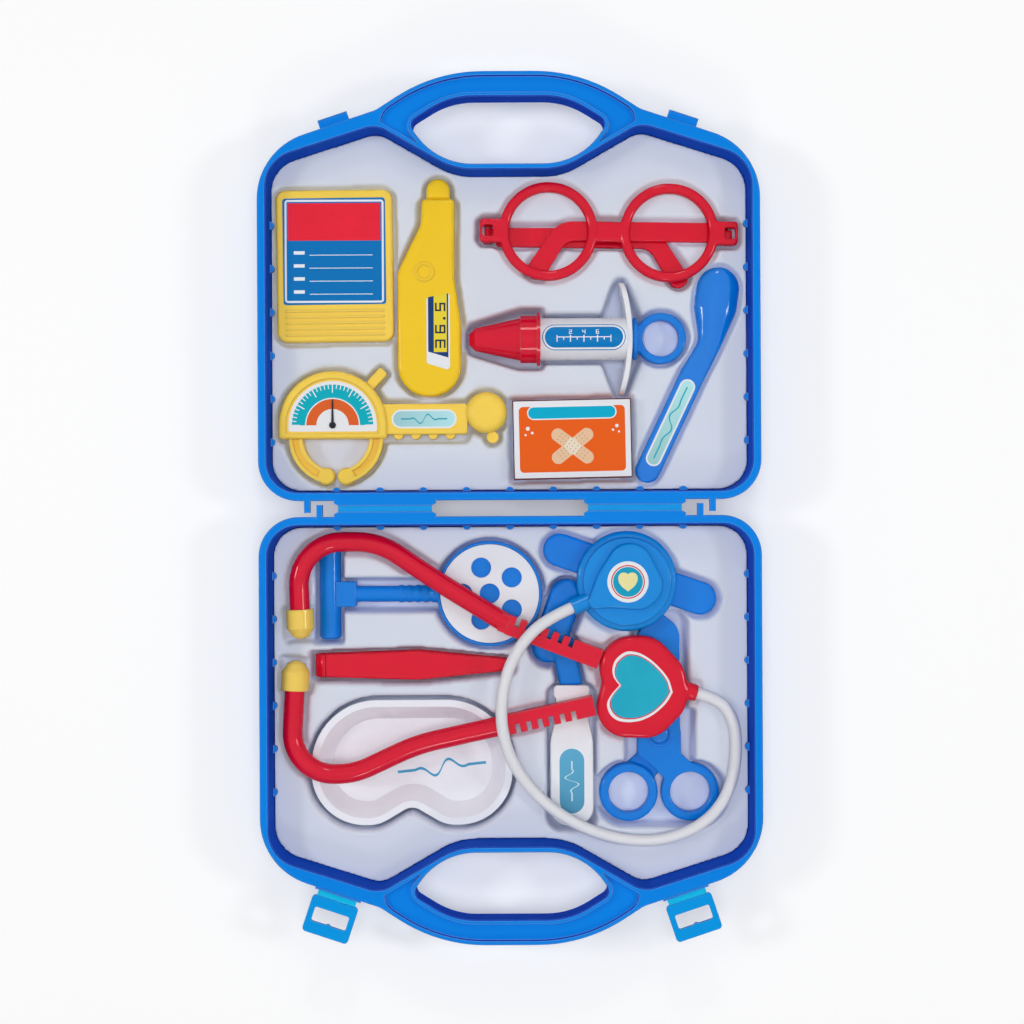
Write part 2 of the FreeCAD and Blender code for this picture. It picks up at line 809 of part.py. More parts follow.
def make_badge():
    floor = upper_plateau + badge_proud - badge_thickness
    where = place(badge_spot_shares, badge_angle, floor)
    points = rectangle(badge_width, badge_height, badge_corner)
    plate = soften(prism(points, 0.0, badge_thickness), badge_thickness, badge_edge)
    ridges = []
    for step in range(badge_ridge_count):
        y = -badge_ridge_drop + (step - (badge_ridge_count - 1) / 2) * badge_ridge_pitch
        ridges.append(prism(pill(badge_ridge_length, badge_ridge_width, (0, y)), badge_thickness - tiny,
                            badge_thickness + badge_ridge_height))
    parts["badge_plate"] = placed(plate.fuse(ridges), where)
    label = prism(rectangle(badge_label_width, badge_label_height, badge_edge, (0, badge_label_rise)),
                  badge_thickness, badge_thickness + label_thickness)
    parts["badge_label"] = placed(label, where)
    pocket(upper_pockets, points, where, floor - tray_seat_gap)


def make_thermometer():
    floor = upper_plateau + thermometer_proud - thermometer_thickness
    where = place(thermometer_spot_shares, 0.0, floor)
    points = [(sx * thermometer_width, sy * thermometer_length, sr * thermometer_width)
              for sx, sy, sr in thermometer_outline_shares]
    top = thermometer_thickness
    body = soften(prism(points, 0.0, top), top, thermometer_edge)
    spot = (thermometer_button_shares[0] * thermometer_width, thermometer_button_shares[1] * thermometer_length)
    button = cylinder(thermometer_button_radius, top - tiny, top + thermometer_button_height, spot)
    button = button.cut(cylinder(thermometer_button_bore, top - overrun, top + overrun, spot))
    parts["thermometer_body"] = placed(body.fuse(button), where)
    label = [(sx * thermometer_width, sy * thermometer_length, sr * thermometer_width)
             for sx, sy, sr in thermometer_label_shares]
    parts["thermometer_label"] = placed(prism(label, top, top + label_thickness), where)
    tip_x = thermometer_tip_share * thermometer_width
    neck = thermometer_length / 2
    tip = pill(2 * thermometer_tip_length, thermometer_tip_width, (0, 0))
    tip = [(tip_x - y, neck + x, radius) for x, y, radius in tip]
    tip_low = (top - thermometer_tip_thickness) / 2
    nose = prism(tip, tip_low, tip_low + thermometer_tip_thickness)
    nose = nose.common(block(-case_width, case_width, neck, case_width, 0.0, top))
    parts["thermometer_tip"] = placed(soften(nose, tip_low + thermometer_tip_thickness, thermometer_edge), where)
    pocket(upper_pockets, points, where, floor - tray_seat_gap)
    pocket(upper_pockets, tip, where, floor - tray_seat_gap)


def temple_points(hand):
    """A folded temple's outline; hand is the side that it is hinged on."""
    hinge_x = glasses_width / 2 - hinge_inset
    offset = temple_offset_shares[0 if hand > 0 else 1] * temple_height
    points = []
    for along, across, radius in temple_shares:
        x = hand * (hinge_x - along * temple_length)
        points.append((x, offset + across * temple_height, radius * temple_height))
    return points


def temple_level(hand):
    """The middle of a temple's thickness, under the rims: the left one lies lowest."""
    rim_low = upper_plateau + glasses_proud - rim_thickness
    first = rim_low - temple_gap - temple_thickness / 2
    return first if hand > 0 else first - temple_thickness - temple_gap


def make_glasses():
    rim_low = upper_plateau + glasses_proud - rim_thickness
    rim_high = rim_low + rim_thickness
    where = place(glasses_spot_shares, glasses_angle)
    hinge_x = glasses_width / 2 - hinge_inset
    shells = []
    lenses = []
    for hand in (-1, 1):
        center = (hand * rim_spacing / 2, 0)
        ring = cylinder(rim_outer_radius, rim_low, rim_high, center)
        ring = ring.cut(cylinder(rim_inner_radius, rim_low - overrun, rim_high + overrun, center))
        shells.append(soften(ring, rim_high, rim_edge))
        lenses.append(cylinder(rim_inner_radius + rim_edge, rim_low - overrun, rim_high + overrun, center))
    half_bridge = rim_spacing / 2 - rim_outer_radius + bridge_overlap
    bridge = prism(rectangle(2 * half_bridge, bridge_height, bridge_height / 4), rim_low,
                   rim_high - rim_edge / 2)
    shells.append(bridge)
    slots = []
    pins = []
    for hand in (-1, 1):
        level = temple_level(hand)
        inner = rim_spacing / 2 + rim_outer_radius - bridge_overlap
        middle = hand * (inner + glasses_width / 2) / 2
        end_plan = rectangle(glasses_width / 2 - inner, end_piece_height, rim_edge, (middle, 0))
        end = prism(end_plan, rim_low, rim_high)
        shells.append(soften(end, rim_high, rim_edge / 2))
        slot_half = knuckle_width / 2 + knuckle_clearance
        reach = ear_radius + knuckle_clearance
        for lug in (-1, 1):
            y_low = lug * slot_half if lug > 0 else -slot_half - ear_thickness
            ear = Part.makeCylinder(ear_radius, ear_thickness, Vector(hand * hinge_x, y_low, level),
                                    Vector(0, 1, 0))
            neck = block(hand * hinge_x - ear_radius, hand * hinge_x + ear_radius, y_low,
                         y_low + ear_thickness, level, rim_low + tiny)
            shells.append(ear.fuse(neck))
        slots.append(block(hand * hinge_x - reach, hand * hinge_x + reach, -slot_half, slot_half,
                           rim_low - overrun, rim_high + overrun))
        pin_half = slot_half + ear_thickness
        pin = Part.makeCylinder(pin_radius, 2 * pin_half, Vector(hand * hinge_x, -pin_half, level),
                                Vector(0, 1, 0))
        pins.append(pin)
        slots.append(Part.makeCylinder(pin_radius + pin_fit, 2 * pin_half + 2 * overrun,
                                       Vector(hand * hinge_x, -pin_half - overrun, level), Vector(0, 1, 0)))
        low = level - temple_thickness / 2
        bar = prism(temple_points(hand), low, low + temple_thickness)
        bar_end = hand * (hinge_x - temple_shares[0][0] * temple_length)
        knuckle = Part.makeCylinder(knuckle_radius, knuckle_width, Vector(hand * hinge_x, -knuckle_width / 2,
                                    level), Vector(0, 1, 0))
        x_ends = sorted((bar_end - hand * knuckle_radius, hand * hinge_x))
        tongue = block(x_ends[0], x_ends[1], -knuckle_width / 2, knuckle_width / 2, low, low + temple_thickness)
        bore = Part.makeCylinder(pin_radius + pin_fit, 2 * knuckle_width, Vector(hand * hinge_x,
                                 -knuckle_width, level), Vector(0, 1, 0))
        temple = bar.fuse([tongue, knuckle]).cut(bore).removeSplitter()
        parts["temple_left" if hand < 0 else "temple_right"] = placed(temple, where)
        pocket(upper_pockets, temple_points(hand), where, low - tray_seat_gap)
        pocket(upper_pockets, disc(rim_outer_radius, (hand * rim_spacing / 2, 0)), where,
               rim_low - tray_seat_gap)
        pocket(upper_pockets, end_plan, where, level - ear_radius - round_seat_gap)
    front = shells[0].fuse(shells[1:]).cut(slots)
    holes = [cylinder(rim_inner_radius, rim_low - overrun, rim_high + overrun, (hand * rim_spacing / 2, 0))
             for hand in (-1, 1)]
    parts["glasses_front"] = placed(front.cut(holes), where)
    parts["glasses_pins"] = placed(Part.makeCompound(pins), where)


def make_syringe():
    axis = upper_plateau - syringe_axis_drop
    collar_end = nozzle_length + collar_length
    barrel_end = collar_end + barrel_length
    flange_end = barrel_end + finger_thickness
    thumb_start = flange_end + thumb_gap
    thumb_end = thumb_start + thumb_collar_length
    ring_x = thumb_end + ring_radius - ring_overlap / 2
    anchor = Placement(Vector(-syringe_anchor_share * (ring_x + ring_radius), 0, 0), Rotation())
    where = place(syringe_spot_shares, 0.0, axis) * anchor
    nozzle = turned([
        (0.0, 0.0), (0.0, nozzle_tip_radius - nozzle_tip_round), (nozzle_tip_round, nozzle_tip_radius),
        (nozzle_length, nozzle_root_radius), (nozzle_length, collar_radius),
        (collar_end - collar_lip_width, collar_radius), (collar_end - collar_lip_width, collar_lip_radius),
        (collar_end, collar_lip_radius), (collar_end, spigot_radius + spigot_fit),
        (collar_end - spigot_length - spigot_fit, spigot_radius + spigot_fit),
        (collar_end - spigot_length - spigot_fit, 0.0)])
    parts["syringe_nozzle"] = placed(nozzle, where)
    barrel = turned([
        (collar_end - spigot_length, 0.0), (collar_end - spigot_length, spigot_radius),
        (collar_end, spigot_radius), (collar_end, barrel_radius), (barrel_end, barrel_radius),
        (barrel_end, barrel_bore), (collar_end + barrel_face, barrel_bore), (collar_end + barrel_face, 0.0)])
    half_span = finger_span / 2
    flange = Part.Wire([
        Part.Arc(Vector(barrel_end - finger_bow, -half_span, 0), Vector(barrel_end, 0, 0),
                 Vector(barrel_end - finger_bow, half_span, 0)).toShape(),
        Part.LineSegment(Vector(barrel_end - finger_bow, half_span, 0),
                         Vector(flange_end - finger_bow, half_span, 0)).toShape(),
        Part.Arc(Vector(flange_end - finger_bow, half_span, 0), Vector(flange_end, 0, 0),
                 Vector(flange_end - finger_bow, -half_span, 0)).toShape(),
        Part.LineSegment(Vector(flange_end - finger_bow, -half_span, 0),
                         Vector(barrel_end - finger_bow, -half_span, 0)).toShape()])
    flange = Part.Face(flange).extrude(Vector(0, 0, finger_height))
    flange.translate(Vector(0, 0, -finger_height / 2))
    oval = prism(pill(finger_span, finger_height), 0.0, 2 * barrel_end)
    oval = oval.transformed(Placement(Vector(0, 0, 0), Rotation(Vector(1, 1, 1), 120)).toMatrix())
    flange = flange.common(oval)
    bore = Part.makeCylinder(barrel_bore, barrel_length, Vector(collar_end + barrel_face, 0, 0), Vector(1, 0, 0))
    bore = bore.fuse(Part.makeCylinder(barrel_bore, barrel_length, Vector(barrel_end - overrun, 0, 0),
                                       Vector(1, 0, 0)))
    parts["syringe_barrel"] = placed(barrel.fuse(flange).cut(bore).removeSplitter(), where)
    rod_radius = barrel_bore - plunger_fit
    rod = turned([
        (collar_end + barrel_face + piston_gap, 0.0), (collar_end + barrel_face + piston_gap, rod_radius),
        (thumb_start, rod_radius), (thumb_start, barrel_radius), (thumb_end, barrel_radius), (thumb_end, 0.0)])
    ring_low = -ring_thickness / 2
    ring_high = ring_thickness / 2
    ring = cylinder(ring_radius, ring_low, ring_high, (ring_x, 0))
    ring = soften(soften(ring, ring_high, ring_edge), ring_low, ring_edge)
    middle = (ring_radius + ring_bore) / 2
    groove = cylinder(middle + ring_groove_width / 2, ring_high - ring_groove_depth, ring_high + overrun,
                      (ring_x, 0))
    groove = groove.cut(cylinder(middle - ring_groove_width / 2, ring_low, 2 * ring_high, (ring_x, 0)))
    neck = block(thumb_end - tiny, thumb_end + ring_overlap, -ring_bore / 2, ring_bore / 2, ring_low, ring_high)
    hole = cylinder(ring_bore, ring_low - overrun, ring_high + overrun, (ring_x, 0))
    parts["syringe_plunger"] = placed(rod.fuse([ring, neck]).cut([hole, groove]).removeSplitter(), where)
    skin = Part.makeCylinder(barrel_radius + label_thickness, barrel_length, Vector(collar_end, 0, 0),
                             Vector(1, 0, 0))
    skin = skin.cut(Part.makeCylinder(barrel_radius, barrel_length, Vector(collar_end, 0, 0), Vector(1, 0, 0)))
    window = prism(pill(barrel_length - 2 * syringe_label_inset, syringe_label_width,
                        (collar_end + barrel_length / 2, 0)), 0.0, 2 * barrel_radius)
    parts["syringe_label"] = placed(skin.common(window), where)
    nozzle_plan = [
        (0.0, -nozzle_tip_radius, nozzle_tip_round), (nozzle_length, -collar_lip_radius, nozzle_tip_round),
        (collar_end, -collar_lip_radius, 0.0), (collar_end, collar_lip_radius, 0.0),
        (nozzle_length, collar_lip_radius, nozzle_tip_round), (0.0, nozzle_tip_radius, nozzle_tip_round)]
    pocket(upper_pockets, nozzle_plan, where, axis - collar_lip_radius - round_seat_gap)
    barrel_plan = rectangle(barrel_length, 2 * barrel_radius, 0.0, (collar_end + barrel_length / 2, 0))
    pocket(upper_pockets, barrel_plan, where, axis - barrel_radius - round_seat_gap)
    flange_start = barrel_end - finger_bow
    flange_side = [
        (flange_start - finger_slope, barrel_radius, 0.0), (flange_start, half_span, finger_thickness / 2),
        (flange_end - finger_bow, half_span, finger_thickness / 2), (thumb_end, barrel_radius, 0.0)]
    flange_plan = flange_side + [(x, -y, radius) for x, y, radius in flange_side[::-1]]
    pocket(upper_pockets, flange_plan, where, axis - barrel_radius - round_seat_gap)
    pocket(upper_pockets, disc(ring_radius, (ring_x, 0)), where, axis + ring_low - tray_seat_gap)


def make_spoon():
    floor = upper_plateau + spoon_proud - spoon_thickness
    handle_place = place(spoon_handle_spot_shares, spoon_angle, floor)
    bowl_place = place(bowl_spot_shares, bowl_angle, floor)
    handle_points = rectangle(spoon_handle_width, spoon_handle_length, spoon_handle_width / 2)
    handle = soften(prism(handle_points, 0.0, spoon_thickness), spoon_thickness, spoon_edge)
    neck_y = spoon_handle_length / 2 - spoon_handle_width / 2
    to_bowl = bowl_place.inverse() * handle_place
    neck_left = to_bowl.multVec(Vector(-spoon_handle_width / 2, neck_y, 0))
    neck_right = to_bowl.multVec(Vector(spoon_handle_width / 2, neck_y, 0))
    half = bowl_width / 2
    waist = bowl_waist_width / 2
    bowl_points = [
        (neck_left.x, neck_left.y, 0.0), (neck_right.x, neck_right.y, 0.0),
        (waist, -bowl_waist_drop, bowl_waist_radius), (half, -bowl_shoulder_drop, bowl_shoulder_radius),
        (half, bowl_top, bowl_round), (-half, bowl_top, bowl_round),
        (-half, -bowl_shoulder_drop, bowl_shoulder_radius), (-waist, -bowl_waist_drop, bowl_waist_radius)]
    bowl = soften(prism(bowl_points, 0.0, bowl_height), bowl_height, bowl_edge)
    dent_top = bowl_height - bowl_wall
    dent = soften(prism(grow(bowl_points, -bowl_wall), -overrun, dent_top), dent_top, bowl_edge - bowl_wall)
    bowl = placed(bowl.cut(dent), bowl_place)
    parts["spoon"] = placed(handle, handle_place).fuse(bowl).removeSplitter()
    label = prism(rectangle(spoon_label_width, spoon_label_length, spoon_label_width / 2), spoon_thickness,
                  spoon_thickness + label_thickness)
    parts["spoon_label"] = placed(label, handle_place)
    pocket(upper_pockets, handle_points, handle_place, floor - tray_seat_gap)
    pocket(upper_pockets, bowl_points, bowl_place, floor - tray_seat_gap)


def dial_points(radius, drop):
    """A half disc with a straight lower edge."""
    return [(-radius, -drop, drop / 4), (radius, -drop, drop / 4), (radius, radius, radius),
            (-radius, radius, radius)]


def make_gauge():
    floor = upper_plateau + gauge_proud - gauge_thickness
    where = place(gauge_spot_shares, 0.0, floor)
    top = gauge_thickness
    body_points = dial_points(dial_radius, dial_drop)
    body = soften(prism(body_points, 0.0, top), top, gauge_edge)
    cuff = (cuff_center_shares[0] * dial_radius, cuff_center_shares[1] * dial_radius)
    ring = cylinder(cuff_ring_radius, 0.0, cuff_thickness, cuff)
    bore = cylinder(cuff_ring_bore, -overrun, cuff_thickness + overrun, cuff)
    middle = (cuff_ring_radius + cuff_ring_bore) / 2
    groove = cylinder(middle + cuff_groove_width / 2, cuff_thickness - cuff_groove_depth,
                      cuff_thickness + overrun, cuff)
    groove = groove.cut(cylinder(middle - cuff_groove_width / 2, 0.0, 2 * cuff_thickness, cuff))
    upper_space = block(-2 * dial_radius, 2 * dial_radius, -dial_drop, 2 * dial_radius, -overrun, 2 * top)
    ball_drop = math.sqrt(middle ** 2 - cuff_ball_half_gap ** 2)
    balls = []
    for hand in (-1, 1):
        spot = (cuff[0] + hand * cuff_ball_half_gap, cuff[1] - ball_drop)
        balls.append(soften(cylinder(cuff_ball_radius, 0.0, cuff_thickness, spot), cuff_thickness, gauge_edge))
    gap = block(cuff[0] - cuff_ball_half_gap, cuff[0] + cuff_ball_half_gap, cuff[1] - 2 * cuff_ring_radius,
                cuff[1] - cuff_ball_half_gap, -overrun, 2 * top)
    ring = ring.cut([bore, groove, upper_space, gap])
    arm_start = dial_radius - gauge_edge * 2
    arm_middle = (arm_start + arm_length / 2, arm_center_share * dial_radius)
    arm_points = rectangle(arm_length, arm_height, gauge_edge, arm_middle)
    arm = soften(prism(arm_points, 0.0, arm_thickness), arm_thickness, gauge_edge / 2)
    bumps = []
    for step in range(arm_bump_count):
        x = arm_start + arm_length * (step + 1) / (arm_bump_count + 1)
        bumps.append(cylinder(arm_bump_radius, 0.0, arm_thickness - gauge_edge,
                              (x, arm_middle[1] - arm_height / 2)))
    bulb_spot = (bulb_center_shares[0] * dial_radius, bulb_center_shares[1] * dial_radius)
    bulb = soften(cylinder(bulb_radius, 0.0, bulb_height, bulb_spot), bulb_height, bulb_edge)
    nub_spot = (bulb_nub_shares[0] * dial_radius, bulb_nub_shares[1] * dial_radius)
    nub = cylinder(bulb_nub_radius, 0.0, arm_thickness - gauge_edge, nub_spot)
    tab_length = gauge_tab_reach - cuff_ring_bore
    tab = rectangle(tab_length, gauge_tab_width, gauge_tab_width / 4, (gauge_tab_reach - tab_length / 2, 0))
    spin = Placement(Vector(0, 0, 0), Rotation(upright, gauge_tab_angle))
    tab_points = placed_points(tab, spin)
    tab_solid = prism(tab_points, 0.0, cuff_thickness)
    recess = prism(dial_points(dial_recess_radius, dial_drop - dial_recess_depth * 2), top - dial_recess_depth,
                   top + overrun)
    shape = body.fuse([ring, arm, bulb, nub, tab_solid] + balls + bumps).cut(recess)
    pin_low = top - 2 * dial_recess_depth
    pin_high = top + needle_thickness
    shape = shape.cut(cylinder(needle_pin_radius + needle_pin_fit, pin_low, pin_high))
    parts["gauge_body"] = placed(shape.removeSplitter(), where)
    face = top - dial_recess_depth
    dial = prism(dial_points(dial_label_radius, dial_drop - dial_recess_depth * 3), face, face + label_thickness)
    parts["gauge_dial"] = placed(dial.cut(cylinder(needle_hub_radius, 0.0, 2 * top)), where)
    needle_low = face + label_thickness + needle_gap
    hand = [(-needle_width / 2, 0.0, 0.0), (needle_width / 2, 0.0, 0.0),
            (needle_width / 4, needle_length, 0.0), (-needle_width / 4, needle_length, 0.0)]
    needle = prism(hand, needle_low, needle_low + needle_thickness)
    hub = cylinder(needle_hub_radius, needle_low, needle_low + needle_thickness)
    stem = cylinder(needle_pin_radius, pin_low + needle_gap, needle_low + needle_thickness / 2)
    parts["gauge_needle"] = placed(needle.fuse([hub, stem]).removeSplitter(), where)
    label = prism(pill(arm_label_length, arm_label_width, arm_middle), arm_thickness,
                  arm_thickness + label_thickness)
    parts["gauge_label"] = placed(label, where)
    seat = floor - tray_seat_gap
    pocket(upper_pockets, body_points, where, seat)
    pocket(upper_pockets, disc(cuff_ring_radius, cuff), where, seat)
    pocket(upper_pockets, arm_points, where, seat)
    pocket(upper_pockets, pill(arm_length, 2 * arm_bump_radius, (arm_middle[0], arm_middle[1] - arm_height / 2)),
           where, seat)
    pocket(upper_pockets, disc(bulb_radius, bulb_spot), where, seat)
    pocket(upper_pockets, disc(bulb_nub_radius, nub_spot), where, seat)
    pocket(upper_pockets, tab_points, where, seat)


def make_carton():
    floor = upper_plateau + carton_proud - carton_height
    where = place(carton_spot_shares, carton_angle, floor)
    half_length = carton_length / 2
    half_breadth = carton_width / 2
    sleeve = block(-half_length, half_length, -half_breadth, half_breadth, 0.0, carton_height)
    inside = block(-half_length - overrun, half_length + overrun, carton_board - half_breadth,
                   half_breadth - carton_board, carton_board, carton_height - carton_board)
    parts["carton_sleeve"] = placed(sleeve.cut(inside), where)
    rim = carton_board + carton_flap_fit
    flaps = []
    for hand in (-1, 1):
        outer = hand * (half_length - carton_board / 2)
        x_ends = sorted((outer, outer - hand * carton_board))
        flaps.append(block(x_ends[0], x_ends[1], rim - half_breadth, half_breadth - rim, rim,
                           carton_height - rim))
    parts["carton_flaps"] = placed(Part.makeCompound(flaps), where)
    pocket(upper_pockets, rectangle(carton_length, carton_width, 0.0), where, floor - tray_seat_gap)


def make_hammer():
    where = place(hammer_spot_shares, 0.0, hammer_axis_height)
    head = turned([
        (-hammer_head_length / 2, 0.0), (-hammer_head_length / 2, hammer_head_radius - hammer_head_edge),
        (hammer_head_edge - hammer_head_length / 2, hammer_head_radius),
        (hammer_head_length / 2 - hammer_head_edge, hammer_head_radius),
        (hammer_head_length / 2, hammer_head_radius - hammer_head_edge), (hammer_head_length / 2, 0.0)])
    head = head.transformed(Placement(Vector(0, 0, 0), Rotation(upright, 90)).toMatrix())
    parts["hammer_head"] = placed(head, where)
    collar_end = hammer_head_radius + hammer_collar_length
    collar = block(0.0, collar_end, -hammer_collar_width / 2, hammer_collar_width / 2,
                   -hammer_collar_height / 2, hammer_collar_height / 2)
    handle_end = collar_end + hammer_handle_length
    handle = Part.makeCylinder(hammer_handle_radius, hammer_handle_length, Vector(collar_end - tiny, 0, 0),
                               Vector(1, 0, 0))
    ridges = []
    for step in range(hammer_ridge_count):
        x = handle_end - (step + 1) * hammer_ridge_pitch
        ridges.append(Part.makeCylinder(hammer_ridge_radius, hammer_ridge_width, Vector(x, 0, 0),
                                        Vector(1, 0, 0)))
    dish_x = handle_end + dish_radius - hammer_ridge_width
    dish_low = low_tool_top - dish_height - hammer_axis_height
    dish_high = low_tool_top - hammer_axis_height
    dish = cylinder(dish_radius, dish_low, dish_high, (dish_x, 0))
    dish = soften(dish, dish_high, face_sink)
    well = cylinder(face_radius + face_fit, dish_low + dish_floor, dish_high + overrun, (dish_x, 0))
    seat_high = dish_high - face_sink - face_thickness
    seat = cylinder(face_radius + face_fit, dish_low + dish_floor - tiny, seat_high, (dish_x, 0))
    socket = Part.makeCylinder(hammer_head_radius, 2 * hammer_collar_width, Vector(0, -hammer_collar_width, 0),
                               Vector(0, 1, 0))
    body = collar.cut(socket).fuse([handle] + ridges).fuse(dish).cut(well).fuse(seat)
    parts["hammer_handle"] = placed(body.removeSplitter(), where)
    face = cylinder(face_radius, seat_high, seat_high + face_thickness, (dish_x, 0))
    holes = [cylinder(face_hole_radius, dish_low, dish_high + overrun, (dish_x, 0))]
    for step in range(face_hole_count):
        angle = math.pi + 2 * math.pi * step / face_hole_count
        spot = (dish_x + face_hole_ring * math.cos(angle), face_hole_ring * math.sin(angle))
        holes.append(cylinder(face_hole_radius, dish_low, dish_high + overrun, spot))
    parts["hammer_face"] = placed(face.cut(holes), where)
    low = hammer_axis_height - hammer_head_radius - round_seat_gap
    pocket(lower_pockets, rectangle(2 * hammer_head_radius, hammer_head_length, 0.0), where, low)
    pocket(lower_pockets, rectangle(handle_end, hammer_collar_width, 0.0, (handle_end / 2, 0)), where, low)
    pocket(lower_pockets, disc(dish_radius, (dish_x, 0)), where,
           low_tool_top - dish_height - tray_seat_gap)


def make_tweezers():
    where = place(tweezers_spot_shares)
    half = tweezers_width / 2
    tip = tweezers_tip_width / 2
    end = tweezers_end_width / 2
    points = [(0.0, -end, 0.0), (tweezers_length / 2, -half, tweezers_length / 2),
              (tweezers_length, -tip, tip / 2), (tweezers_length, tip, tip / 2),
              (tweezers_length / 2, half, tweezers_length / 2), (0.0, end, 0.0)]
    low = tweezers_bottom
    high = low_tool_top
    arm = tweezers_arm_thickness
    parts["tweezers_lower_arm"] = placed(prism(points, low, low + arm), where)
    parts["tweezers_upper_arm"] = placed(prism(points, high - arm, high), where)
    middle = (low + high) / 2
    radius = (high - low) / 2
    bend = Part.makeCylinder(radius, tweezers_end_width, Vector(0, -end, middle), Vector(0, 1, 0))
    inner = Part.makeCylinder(radius - arm, 2 * tweezers_width, Vector(0, -tweezers_width, middle),
                              Vector(0, 1, 0))
    front = block(0.0, 2 * radius, -tweezers_width, tweezers_width, low - overrun, high + overrun)
    parts["tweezers_bend"] = placed(bend.cut([inner, front]), where)
    plan = points[1:-1] + [(-radius, end, 0.0), (-radius, -end, 0.0)]
    pocket(lower_pockets, plan, where, low - tray_seat_gap)


def make_kidney_dish():
    where = place(kidney_spot_shares, 0.0, kidney_bottom)
    points = scaled(kidney_outline_shares, kidney_length, kidney_width)
    height = low_tool_top - kidney_bottom
    rim = kidney_rim_width
    outer = drafted([(grow(points, -kidney_slope), 0.0), (grow(points, -rim), height)])
    inner = drafted([(grow(points, -kidney_slope - kidney_wall), kidney_wall),
                     (grow(points, -rim - kidney_wall), height)])
    mouth = prism(grow(points, -rim - kidney_wall), height - tiny, height + overrun)
    lip = prism(points, height - kidney_rim_height, height)
    parts["kidney_dish"] = placed(outer.fuse(lip).cut([inner, mouth]).removeSplitter(), where)
    pocket(lower_pockets, points, where, kidney_bottom - tray_seat_gap)


def make_scope():
    floor = low_tool_top - scope_thickness
    where = place(scope_spot_shares, 0.0, floor)
    points = [(sx * scope_width, sy * scope_length, sr * scope_width) for sx, sy, sr in scope_outline_shares]
    handle = soften(prism(points, 0.0, scope_thickness), scope_thickness, scope_edge / 4)
    parts["scope_handle"] = placed(handle, where)
    label = rectangle(scope_label_width, scope_label_length, scope_label_width / 2,
                      (0, scope_label_share * scope_length))
    parts["scope_label"] = placed(prism(label, scope_thickness, scope_thickness + label_thickness), where)
    stem_low = (scope_thickness - scope_stem_thickness) / 2
    half = scope_stem_width / 2
    foot = scope_length / 2
    stem = [(-half, foot, 0.0), (half, foot, 0.0), (half - scope_stem_lean, foot + scope_stem_length, half / 2),
            (-half - scope_stem_lean, foot + scope_stem_length, half / 2)]
    stem_solid = soften(prism(stem, stem_low, stem_low + scope_stem_thickness), stem_low + scope_stem_thickness,
                        scope_edge / 2)
    leaf_place = place(scope_leaf_spot_shares, scope_leaf_angle, floor)
    leaf = pill(scope_leaf_length, scope_leaf_width)
    leaf_solid = soften(prism(leaf, 0.0, scope_leaf_thickness), scope_leaf_thickness, scope_leaf_edge)
    parts["scope_head"] = placed(stem_solid, where).fuse(placed(leaf_solid, leaf_place)).removeSplitter()
    pocket(lower_pockets, rectangle(scope_width, scope_length, scope_width / 4), where, floor - tray_seat_gap)
    pocket(lower_pockets, stem, where, floor - tray_seat_gap)
    pocket(lower_pockets, leaf, leaf_place, floor - tray_seat_gap)


def make_depressor():
    floor = low_tool_top - depressor_thickness
    where = place(depressor_spot_shares, depressor_angle, floor)
    points = pill(depressor_length, depressor_width)
    bar = soften(prism(points, 0.0, depressor_thickness), depressor_thickness, depressor_edge)
    parts["tongue_depressor"] = placed(bar, where)
    pocket(lower_pockets, points, where, floor - tray_seat_gap)


